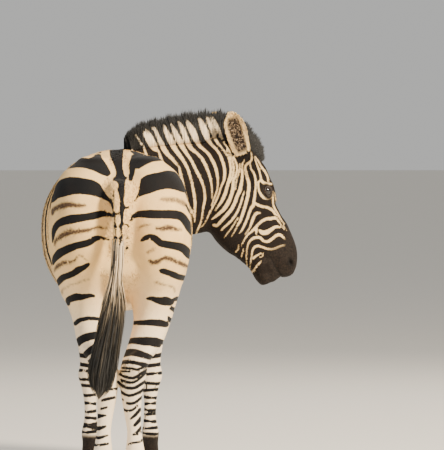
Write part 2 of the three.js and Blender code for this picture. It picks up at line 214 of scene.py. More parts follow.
def unit(v):
    """Each vector divided by its own length."""
    return v / np.maximum(np.linalg.norm(v, axis=-1, keepdims=True), 1e-9)


def section(form, t):
    """Middle, forward, side and up directions and the six sizes of a loft at t: side is square to the path, and up is
    forward crossed with side."""
    rows, nudge = form["rows"], 1e-4
    v = blend_rows(rows, t)
    if form["level"]:
        along = np.tile([0.0, 0, -1], (len(t), 1))
    else:
        path = rows[:, :3]
        along = unit(blend_rows(path, np.minimum(t + nudge, 1)) - blend_rows(path, np.maximum(t - nudge, 0)))
    angle = np.radians(v[:, 7])
    side = np.stack([np.cos(angle), -np.sin(angle), 0 * angle], 1)
    side = unit(side - along * (side * along).sum(1, keepdims=True))
    return v[:, :3], along, side, np.cross(along, side), v[:, 3:]


middle = section(SKIN_LOFTS["trunk"], np.array([.5]))[0]
print("middle of the trunk, mm", middle.round(1))


# %% The surface of a loft
DOME = np.radians([86, 70, 52, 35, 17])  # how far up a dome each of its rings is


def loft_grid(form, rings, sides, grow):
    """Point = middle + side·half·cos(a) to the power 2/square + up·depth·sin(a) to the same power, with round domes
    past the ends."""
    t, shrink, beyond = np.linspace(0, 1, rings), np.ones(rings), np.zeros(rings)
    start, end = form["ends"]
    beyond[0], beyond[-1] = (0 if start else -grow), (0 if end else grow)
    if start:
        t, shrink = np.r_[0 * DOME, t], np.r_[np.cos(DOME), shrink]
        beyond = np.r_[-(start + grow) * np.sin(DOME), beyond]
    if end:
        t, shrink = np.r_[t, 1 + 0 * DOME], np.r_[shrink, np.cos(DOME[::-1])]
        beyond = np.r_[beyond, (end + grow) * np.sin(DOME[::-1])]
    middle, along, side, up, sizes = section(form, t)
    half, upper, lower, square, _, tilt = (sizes[:, k:k + 1] for k in range(6))
    a = np.linspace(0, 2 * np.pi, sides, endpoint=False)[None, :]
    across = np.sign(np.cos(a)) * np.abs(np.cos(a)) ** (2 / square)
    height = np.sign(np.sin(a)) * np.abs(np.sin(a)) ** (2 / square)
    rise = (np.where(height > 0, upper, lower) + grow) * height * shrink[:, None]
    width = (half + grow) * across * shrink[:, None]
    p = (middle + along * beyond[:, None])[:, None] + side[:, None] * width[..., None] + up[:, None] * rise[..., None]
    if form["level"]:
        p[..., 2] += tilt * rise
    return p @ form["matrix"][:3, :3].T + form["matrix"][:3, 3]


print("grid of the neck", loft_grid(SKIN_LOFTS["neck"], 20, 12, 0).shape)


# %% From arrays to a mesh, and back
def tube_faces(rings, sides, first=0):
    """Four-cornered faces between neighbouring rings, and a fan to a pole at each end. The poles follow the rings."""
    i, j = np.meshgrid(np.arange(rings - 1), np.arange(sides), indexing="ij")
    k = (j + 1) % sides
    quads = np.stack([i * sides + j, i * sides + k, (i + 1) * sides + k, (i + 1) * sides + j], -1).reshape(-1, 4)
    n, s = rings * sides, np.arange(sides)
    fans = np.concatenate([np.stack([(s + 1) % sides, s, 0 * s + n], 1),
                           np.stack([n - sides + s, n - sides + (s + 1) % sides, 0 * s + n + 1], 1)])
    return [quads + first, fans + first]


def closed_tube(grid):
    """The points of a grid of rings with a pole at the middle of the first and the last ring."""
    return np.vstack([grid.reshape(-1, 3), grid[0].mean(0), grid[-1].mean(0)])


def mesh_from_arrays(name, points, faces):
    """Puts whole arrays into a mesh: points in body millimetres, faces as arrays with one row for each face."""
    mesh = bpy.data.meshes.new(name)
    corners = np.concatenate([f.ravel() for f in faces]).astype(np.int32)
    sizes = np.concatenate([np.full(len(f), f.shape[1]) for f in faces])
    mesh.vertices.add(len(points))
    mesh.vertices.foreach_set("co", ((points + SHIFT) / 1000).astype(np.float32).ravel())
    mesh.loops.add(len(corners))
    mesh.loops.foreach_set("vertex_index", corners)
    mesh.polygons.add(len(sizes))
    mesh.polygons.foreach_set("loop_start", np.r_[0, np.cumsum(sizes)[:-1]].astype(np.int32))
    mesh.polygons.foreach_set("use_smooth", np.ones(len(sizes), bool))
    mesh.update(calc_edges=True)
    return mesh


def read_mesh(mesh):
    """The points, in body millimetres, and the normals of a mesh as arrays."""
    points, normals = (np.empty(3 * len(mesh.vertices), np.float32) for _ in range(2))
    mesh.vertices.foreach_get("co", points)
    mesh.vertex_normals.foreach_get("vector", normals)
    return points.reshape(-1, 3) * 1000.0 - SHIFT, normals.reshape(-1, 3).astype(float)


def place_object(name, data):
    """An object at the origin, unturned, with that mesh, lamp or camera in it."""
    made = bpy.data.objects.new(name, data)
    bpy.context.scene.collection.objects.link(made)
    return made


def applied(piece):
    """The mesh that a piece's modifiers give. The piece itself is removed."""
    mesh = bpy.data.meshes.new_from_object(piece.evaluated_get(bpy.context.evaluated_depsgraph_get()))
    bpy.data.objects.remove(piece)
    return mesh


def show(name, mesh, material, slot, *nodes):
    """A piece at the origin that rides on the body, takes the material and stands for the nodes; the slot is not used.
    """
    piece = place_object(name, mesh)
    mesh.materials.append(material)
    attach(piece, "root")
    if nodes:
        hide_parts(*nodes)
    print(name, len(mesh.polygons), "faces")


print("faces of a tube of 3 rings of 4:", [len(f) for f in tube_faces(3, 4)])

# %% [markdown]
# ## One skin
# The skin of the living animal has no seams, so all the lofts are joined, lying inside the solids by the depth of the
# coat, and remeshed on a fine lattice, which keeps only the outer surface. Smoothing then rounds the places where two
# lofts meet, as flesh does. Boolean unions would join them too, but leave a crease and uneven faces at every join.

# %% Join the lofts and remesh them
VOXEL = 0.0045  # metres, fine enough for the rim of an ear
RINGS, SIDES = 70, 48
points, faces, first = [], [], 0
for form in SKIN_LOFTS.values():
    grid = loft_grid(form, RINGS, SIDES, -form["coat"])
    points.append(closed_tube(grid))
    faces.append(tube_faces(len(grid), SIDES, first))
    first += len(points[-1])
all_faces = [np.vstack(kind) for kind in zip(*faces)]
shells = place_object("shells", mesh_from_arrays("shells", np.vstack(points), all_faces))
remesh = shells.modifiers.new("join", "REMESH")
remesh.mode, remesh.voxel_size = "VOXEL", VOXEL
joined = applied(shells)
print("joined skin", len(joined.vertices), "points")


# %% Nearest loft of each point
def to_local(matrix, points):
    """Points seen from a frame: the frame's inverse turn, then its inverse shift."""
    inverse = np.linalg.inv(matrix)
    return points @ inverse[:3, :3].T + inverse[:3, 3]


def chart(form, points):
    """Share along the loft, share round it, side offset and share of the way out: side and up offsets over the
    section's sizes, joined by its own power."""
    p, ts = to_local(form["matrix"], points), np.linspace(0, 1, 81)
    middles, along = section(form, ts)[:2]
    if form["level"]:
        t = np.interp(-p[:, 2], -middles[:, 2], ts)
    else:
        nearest = np.concatenate([((part[:, None] - middles) ** 2).sum(2).argmin(1)
                                  for part in np.array_split(p, len(p) // 30000 + 1)])
        speed = np.linalg.norm(np.gradient(middles, ts, axis=0), axis=1)
        t = ts[nearest] + ((p - middles[nearest]) * along[nearest]).sum(1) / speed[nearest]
    over = np.maximum(-t, 0) + np.maximum(t - 1, 0)
    middle, forward, side, up, sizes = section(form, t)
    half, upper, lower, square = (sizes[:, k] for k in range(4))
    x, y = ((p - middle) * side).sum(1), ((p - middle) * up).sum(1)
    past = np.maximum(0, np.abs(((p - middle) * forward).sum(1)) - 20) / 60
    depth = np.abs(np.where(y > 0, np.maximum(upper, 20), lower))
    out = (np.abs(x / half) ** square + np.abs(y / depth) ** square) ** (1 / square) + 2 * over + past
    return np.clip(t, 0, 1), np.arctan2(y / depth, x / half) / (2 * np.pi) + .5, x, out


CHARTS = [name for name in SKIN_LOFTS if name not in ("jaw", "lips")]


def chart_all(points):
    """For every loft the four numbers of chart, stacked: loft, number, point."""
    return np.stack([np.stack(chart(SKIN_LOFTS[name], points)) for name in CHARTS])


def step(low, high, x):
    """0 below low, 1 above high, and a smooth S between them."""
    s = np.clip((x - low) / (high - low), 0, 1)
    return s * s * (3 - 2 * s)


skin_points, _ = read_mesh(joined)
outs = np.sort(chart_all(skin_points)[:, 3], axis=0)
print("points inside more than one loft", int((outs[1] < 1).sum()))


# %% Smooth the joins
def relax(points, edges, weight, rounds):
    """Each point moves towards the mean of its neighbours by its weight, and this is repeated."""
    count = np.bincount(edges.ravel(), minlength=len(points))[:, None]
    for _ in range(rounds):
        mean = np.stack([np.bincount(edges[:, 0], points[edges[:, 1], k], len(points))
                         + np.bincount(edges[:, 1], points[edges[:, 0], k], len(points)) for k in range(3)], 1) / count
        points = points + (mean - points) * weight[:, None]
    return points


edges = np.empty(2 * len(joined.edges), np.int32)
joined.edges.foreach_get("vertices", edges)
edges = edges.reshape(-1, 2)
near_join = 1 - step(0.05, 0.3, outs[1] - outs[0])
skin_points = relax(skin_points, edges, np.full(len(skin_points), 0.5), 3)
skin_points = relax(skin_points, edges, 0.6 * near_join, 40)
print("points near a join", int((near_join > .5).sum()))

# %% [markdown]
# ## Shaping the flesh
# Bones and muscles show through a short coat: the brow, the cheek, the nostrils and the line of the mouth, the hip,
# the stifle, and the tendons of the hocks. Each is a soft bump or hollow, moved along the skin's own direction.
# Sculpting by hand would give the same result, but a table of places can be corrected one at a time.

# %% Bumps and hollows
HEAD_SHAPE = [  # sideways, down, above, radius sideways, down, above, rise in millimetres; both sides alike
    (74, 190, 34, 26, 34, 13, 9), (60, 150, 30, 24, 22, 20, -6), (80, 199, 5, 16, 21, 15, -9),
    (76, 228, -24, 20, 26, 12, 4), (84, 285, -62, 26, 62, 12, 6), (84, 265, -160, 40, 62, 55, 8),
    (60, 345, 14, 16, 80, 20, -5), (0, 330, 66, 18, 110, 24, 4), (54, 497, 8, 17, 24, 15, 7),
    (50, 500, 8, 8, 15, 7, -19), (46, 462, 8, 16, 22, 22, -3), (44, 520, -46, 30, 26, 10, 5),
    (0, 545, -72, 34, 20, 15, 6), (74, 315, -120, 20, 30, 60, -4), (66, 120, 34, 24, 24, 20, 4)]
BODY_SHAPE = [  # x, y, z, three radii, rise; x is given for the left side
    (175, 300, 1190, 45, 50, 35, 10), (225, 330, 1010, 60, 60, 90, -7), (215, 230, 800, 60, 50, 60, -11),
    (190, 330, 735, 50, 45, 45, 9), (60, 626, 470, 30, 22, 45, 4), (60, 596, 560, 80, 22, 50, -9),
    (150, -440, 1000, 60, 60, 60, 10), (190, -330, 1000, 50, 35, 130, -7), (205, -250, 1120, 60, 60, 60, 6),
    (90, 560, 330, 9, 30, 90, -3), (28, 560, 330, 9, 30, 90, -3), (118, -412, 400, 40, 20, 22, 3),
    (0, -570, 900, 26, 60, 70, -12), (70, -560, 900, 40, 60, 60, 8)]
MOUTH = [(548, -36), (520, -47), (490, -55), (455, -60)]  # down and above along the line between the lips
EYE = {"sideways": 70, "down": 199, "above": 5, "radius": 21}  # in the head's own frame


def head_place(points):
    """Head coordinates in millimetres: sideways to the animal's left, down the face, and above the face's axis."""
    local = to_local(HEAD, points)
    return np.stack([local[:, 0], -local[:, 1], local[:, 2]], 1)


def folded(points):
    """Points with the sideways place made positive, so that one row of a table serves both sides."""
    return np.column_stack([np.abs(points[:, 0]), points[:, 1:]])


def bumps(points, table):
    """The sum of rise times exp(-distance squared), with each offset divided by its own radius."""
    return sum(rise * np.exp(-(((folded(points) - spot[:3]) / spot[3:]) ** 2).sum(1)) for *spot, rise in table)


def line_distance(flat, line):
    """Distance in a plane from each point to a line sampled finely."""
    line = np.array(line, float)
    t = np.linspace(0, len(line) - 1, 60)
    fine = np.stack([np.interp(t, np.arange(len(line)), line[:, k]) for k in range(2)], 1)
    return np.sqrt(((flat[:, None] - fine) ** 2).sum(2)).min(1)


GROOVE, GROOVE_WIDTH = 2.5, 4  # depth and half width of the line between the lips
_, skin_normals = read_mesh(joined)
place = head_place(skin_points)
face = np.flatnonzero((place[:, 1] > 40) & (place[:, 1] < 620) & (np.abs(place[:, [0, 2]]) < (150, 260)).all(1))
body = outs[0] < 1.6
body[face] = False
rise = np.where(body, bumps(skin_points, BODY_SHAPE), 0)
rise[face] += bumps(place[face], HEAD_SHAPE)
rise[face] -= GROOVE * np.exp(-(line_distance(place[face][:, 1:], MOUTH) / GROOVE_WIDTH) ** 2)
skin_points = skin_points + skin_normals * rise[:, None]
joined.vertices.foreach_set("co", ((skin_points + SHIFT) / 1000).astype(np.float32).ravel())
joined.update()
print("deepest hollow and highest bump, mm", round(rise.min(), 1), round(rise.max(), 1))

# %% [markdown]
# ## Thinning
# The lattice gives far more faces than a piece may have. Decimate merges the faces that matter least, and a vertex
# group says where it may merge more. The trunk is plain and can spare the most. The face, ears, neck and legs keep
# most of their faces, because their stripes are narrow.

# %% Thin the skin, most where it is plain
SKIN_FACES = 194000
near = dict(zip(CHARTS, chart_all(skin_points)[:, 3]))
plain = np.full(len(skin_points), 0.6)
for region, share in ((skin_points[:, 1] > 150, .45), (np.minimum(near["neck"], near["dock"]) < 1.15, .42),
                      (skin_points[:, 2] < 560, .34), (face, .32),
                      (np.minimum(near["ear_left"], near["ear_right"]) < 1.3, .25)):
    plain[region] = share
shaped = place_object("shaped", joined)
keep = shaped.vertex_groups.new(name="plain")
for share in np.unique(plain):
    keep.add(np.flatnonzero(plain == share).tolist(), share, "REPLACE")
shaped.modifiers.new("three corners", "TRIANGULATE")
thin = shaped.modifiers.new("thin", "DECIMATE")
thin.ratio, thin.vertex_group, thin.vertex_group_factor = SKIN_FACES / (2 * len(joined.polygons)), "plain", 1.0
skin_mesh = applied(shaped)
skin_mesh.materials.clear()
skin_mesh.polygons.foreach_set("use_smooth", np.ones(len(skin_mesh.polygons), bool))
skin_points, skin_normals = read_mesh(skin_mesh)
print("skin", len(skin_mesh.polygons), "faces", len(skin_points), "points")

# %% [markdown]
# ## The stripes
# A zebra's stripes are areas of dark and of pale hair on one even coat. Here each stripe is a painter's stroke, a
# line of places with a width at each, and the coat keeps for every point its distance from the nearest stroke's edge.
# A distance blends well between points, so the edges stay sharp on a coarse mesh. The hind view and the neck are
# painted in the plane square to a line from behind, the flanks in the plane square to a line from the side.

# %% Strokes of the hind view: across, height and width of each place, strokes parted by semicolons
REAR_DARK = """61 170.5 3, 66 166 7, 72 163.5 9, 80 162.5 10, 88 163.5 11, 94 163 15, 99 163.5 18, 104 168.5 13,
108 172.5 8; 78 155 1.5, 86 152.3 1.6, 94 151.5 3.5, 100 151 4; 116.5 146 14, 116.5 155 13, 118 163 9, 119.3 171 7.5,
120 178 14, 120.5 195 15, 121.3 210 15, 121.6 230 13, 121.3 248 11; 133 152 7, 133.5 158 9, 132.5 166 7, 131.5 173 6,
130.8 179 4.5; 136 160 17, 140 160 17, 147 158.3 13.5, 155 156.8 9.5, 160 157.2 7.5, 165 158.8 5.5, 170 161 4,
175 165.5 2.5, 179 170 2.5, 182 175.5 3; 50 196 14, 55 191.5 15, 60 189 17, 70 186 18, 80 185.6 17, 90 187 16,
97 189 15, 102 193 10.5, 106 197 6, 110 200.5 4, 112.5 206 2.5, 113.5 212 2; 133 202.5 1.5, 137 196 4.5,
141.5 190.5 10, 145 187 15, 148.5 184.3 18, 153.7 182.3 18, 160 181 17.5, 166.6 179.6 18.3, 173 180.3 18,
178 182.2 16.3, 182.5 185.5 13, 186.5 191 5, 189 200 3.5, 192.3 210 3.5, 193.8 216 2; 52.8 242 1.5, 53.2 236 3,
54.3 230 5, 57.5 224.5 6.5, 63 221.3 8, 70 219.4 9, 76.3 218.4 8.5, 83.8 217.4 7.5, 90 216.3 7.5, 96.3 215 7.5,
101.3 213.8 6.5, 106.3 214 5, 111.3 215.3 3.5, 114.4 215.6 3; 131 219.5 2.5, 134.4 215.8 4.5, 138.9 214.2 6.5,
144 213.9 7.5, 150.5 214 8.5, 160 214.3 8.7, 169.8 214.3 8.7, 177 215 9, 181.5 216.8 8.5, 185.3 221 8, 189 227.5 7.5,
191.8 233 5, 194 238 2; 186 205 1.5, 189 211 2, 194 219 1.5; 53.2 264 2, 54 260.5 4.5, 56.5 256.5 7, 60 253 8.5,
64 250.8 8, 68 248.8 8, 73 246.9 7.5, 79 245 7, 85 243.6 7, 90 241.8 6.5, 94.4 238.9 6, 98.8 237.8 4.5, 103.8 238.4 3,
108.8 239.4 1.8; 141.5 240.3 3, 145.6 237.8 5, 150.6 236.9 6, 155.6 239 7, 160 242.8 7, 164.4 244 7.5, 170 245 7.5,
175.6 246 8, 180.6 247.2 8.5, 184.4 249.4 8.5, 187.5 252.8 8.5, 190.6 256 7.5, 193 258 5; 57.5 285 3, 59.4 281 6,
63 277.5 6.5, 68.8 275.3 6.3, 73.8 273 6.5, 78 270 7, 82.5 268 5.5, 86.3 265.7 4.5, 88.8 263.8 2.5; 160.8 270.8 4,
164 271.3 6, 169 273 5.7, 174 275 6.3, 179 277 6, 184 278 5.5, 188 277.5 4; 68.3 304 3.5, 68.5 300 6, 72 298.3 7,
76 297 7.5, 81 297 6.3, 86 296.2 5, 90 295.6 4.2, 94 296 2.5; 147 298.8 2.5, 151.3 298.5 4.5, 156.3 300 6,
161.3 301 8, 166.3 301.2 9, 170.3 302 7, 173 300.2 3.5, 177.3 298.7 4.5, 178.8 301 3; 170.8 308.5 3, 173.5 309.5 4.5,
176 312.5 4; 115 213 3, 128 213 3; 115 226 3, 128 226 3; 115 238 3, 127 238 3; 116 248 3, 127 248 3; 75.3 323.5 4,
79 320.5 4.5, 84 319 4.2, 90 318.3 4, 96 318.7 3.5, 102 319.6 2.8; 77 344.5 5, 80 340.5 7, 85 337.8 7.5, 91 336 7.3,
97 334.8 6.5, 103 334 6; 83.5 357.5 4.5, 87 353 5.5, 92 348.8 5.5, 96 346 5, 103 344 4; 84 361.5 2.5, 88 362 3,
92 359.5 3; 95.5 416.5 5, 101 416 3, 105.5 415.5 1; 101 409 1.8, 106.5 407.5 1.5; 95 428.5 3.5, 99 428.5 3.5,
105.5 426.5 1.3; 95 437 2, 99 438 2.5, 107.5 435.5 1; 90 443 3, 97 445.5 2, 107.6 444 1.8; 102 400.5 2, 108 399 2.5,
114.5 397.5 2; 110 389.5 1.5, 117 388.8 1.8; 133.3 323 3.5, 138 322.8 4.5, 144 322.7 5.2, 150 322.5 6.3, 156 322.8 7,
161 323.3 7, 166 324.3 5.8; 168.3 317 2, 170 320 4.5, 172.5 321 3.5; 127.3 343 3, 131 341 5, 137 340.8 6.5,
144 341.3 8, 150 341.5 8.2, 156 342.5 9, 161 343.5 7.5; 123.8 355.5 3, 127 353.2 6, 131 352.3 6.5, 137 353.2 6.5,
143 355 6, 149 357 5, 153.5 359 3, 157 359 2.5, 162.3 363 2; 119.3 365.5 2, 122 363 3, 126 362 3.5, 132 362.3 3.3,
139 363.8 3.5, 144 365 4.5, 149 366 2.5; 122 367.8 1.6, 130 368.3 1.6, 137 369.8 2, 142 368 1.8; 121 371.3 1.4,
130 371.6 1.3; 120 374.3 2, 124.8 376.7 2.2, 132.4 378.1 2.2, 137.1 376.2 2.2, 142.9 372.4 2.2,
149 369 2; 121 380 1.5, 126 382 2, 132 382.6 2, 137 380.5 2, 143 375.5 2, 148 371 2; 118 381.9 2, 121.9 385.7 2.5,
127.6 388 2.5, 134.3 388 2.5, 141 384.3 2.5, 148.6 379 2; 119 390.5 2, 123.8 393.8 2.3, 128.6 395.7 2.3,
135.2 394.3 2.3, 141 391.4 2.3, 145.7 387.6 1.8; 126.7 403.3 2, 131 403.8 2.2, 136.2 401.9 2.2,
142.4 396.7 1.8; 121.9 408.6 1.8, 126.7 411 1.8, 132.4 410 1.8, 137.6 405.7 1.5; 120 399 2,
122.9 400 1.5; 130.5 419 1.5, 135.2 415.2 2.5, 140 409.5 2.5; 134.3 425.7 2, 137.1 422.9 3,
141 418.1 3; 133.3 435.2 1.5, 137.1 432.4 2.2, 141.4 427.1 2; 136.2 435.2 1, 142.4 431.9 1.3; 128.6 444.8 1.5,
132.4 443.3 1.5, 140 441.9 1.5, 142.9 439 1"""
REAR_LIGHT = """76 157 1, 82 155 2.5, 88 156 4.5, 93 155 3; 106 149.5 6, 104.5 155 7, 107.5 160.5 6, 110.5 166 5.5,
113 171 5.5, 113 175 5, 108 178.5 4, 104 180 6; 53 184 5, 57.5 178 6.5, 62 175 7.5, 67 173 8.5, 73 172.5 9,
80 172.5 10, 87.5 173.8 10, 93.8 175.6 9, 99.4 178.5 8.5, 103.5 182 8, 105.3 186.5 6.5, 107.5 193 4,
110 197.5 2; 114.5 183.5 5.5, 112 188 4.5, 110.7 193 3; 116 185 5, 115.8 190 3, 116.5 196 5, 116.8 203 6,
116.5 210 6; 117.8 217 4.5, 118 221 5.5, 117.6 224 3.5; 118.2 229.5 4, 118.2 234 4.5, 118 236.5 3; 117.8 240.5 3.5,
117.6 243.5 4, 117.6 246 3.5; 126 147 4.5, 127.5 152 6, 128.5 155 6, 126.5 161 6.5, 126.3 166 5, 126.5 172 6,
126.6 175 3.5; 129 154 4, 132.5 154 1.5; 127 180.5 3, 126.8 186 4.5, 127 194 5, 127 200 6.5, 127.3 204 6; 127 180 2.5,
130 183 3, 133 187 5; 126.7 211.5 5.5, 126.5 216 6, 126 221 6; 125 227.5 5.5, 125 233.5 6; 124.3 239 5,
124.3 244.5 5.5; 123.5 249.5 5, 123 260 5; 132.8 202 1.5, 133.7 197 4, 135 191.6 7, 135.3 186 8.3, 136.3 181 8,
138 176 8, 142 172 8.5, 147.3 169 9, 153.7 167 10.5, 160.2 166.3 11, 166 165.8 9, 171 166.8 7.5, 175.6 169 5.5,
179.5 173 3.5, 182 176.5 1.3; 136.5 150 2, 145 149.7 2, 152 149.8 2.3, 157 151 2"""
REAR_SHADOW = """52.5 214 3, 53.5 210 5, 58 207.5 6, 63 205.8 6, 68 204.5 6, 73 205 5, 79 205.5 4.5,
85 205.5 3; 54.5 245 2, 55.8 240.5 3.5, 59 237.5 5, 64 234.5 5.5, 70 232.5 5.5, 76 231.8 5, 82 231 4.5, 88 230 3.8,
94 228 3, 99 227 2.8, 104 228 2.2, 108 229 1.5; 156.3 228.5 3, 163.4 228.4 5, 168.5 227.7 6, 175 229 4.5,
181 230 2.5; 54.5 271 2, 56.5 267 4, 61 264 4.3, 66 262.3 4.3, 71 262 3.8, 74.5 260.5 2.8, 77 257 1.6, 80.5 255 1.8,
84 258 1.3, 88 261.5 1.5; 148.8 260.6 2.5, 152.5 262.5 5, 157.5 261.9 5.5, 161.9 258.8 3.5, 166.3 258 5,
171.3 259.4 5, 176.9 261.9 4.5, 181.3 263.8 5, 186.9 266.3 4"""
REAR_FAINT = """160 199.5 2, 164 199.3 4.5, 170 199.5 5.5, 176 200 5.5, 182 202.5 5.5, 186 205 4; 138 229 2,
142 226 3, 147 225 2.5, 151 224.5 1.5; 147.5 252.5 3, 155 248.8 3; 62 293 2.5, 62.5 290 2.5, 67 287 2, 72 284.4 1.5,
79 282.5 2, 85.6 279.4 1.5, 89.4 280 1; 156.3 282.5 3.5, 161.9 284.4 2.5, 166.3 285.6 2, 172.5 286.9 2.5, 175 291.2 2"""
print("strokes behind", [table.count(";") + 1 for table in (REAR_DARK, REAR_LIGHT, REAR_SHADOW, REAR_FAINT)])

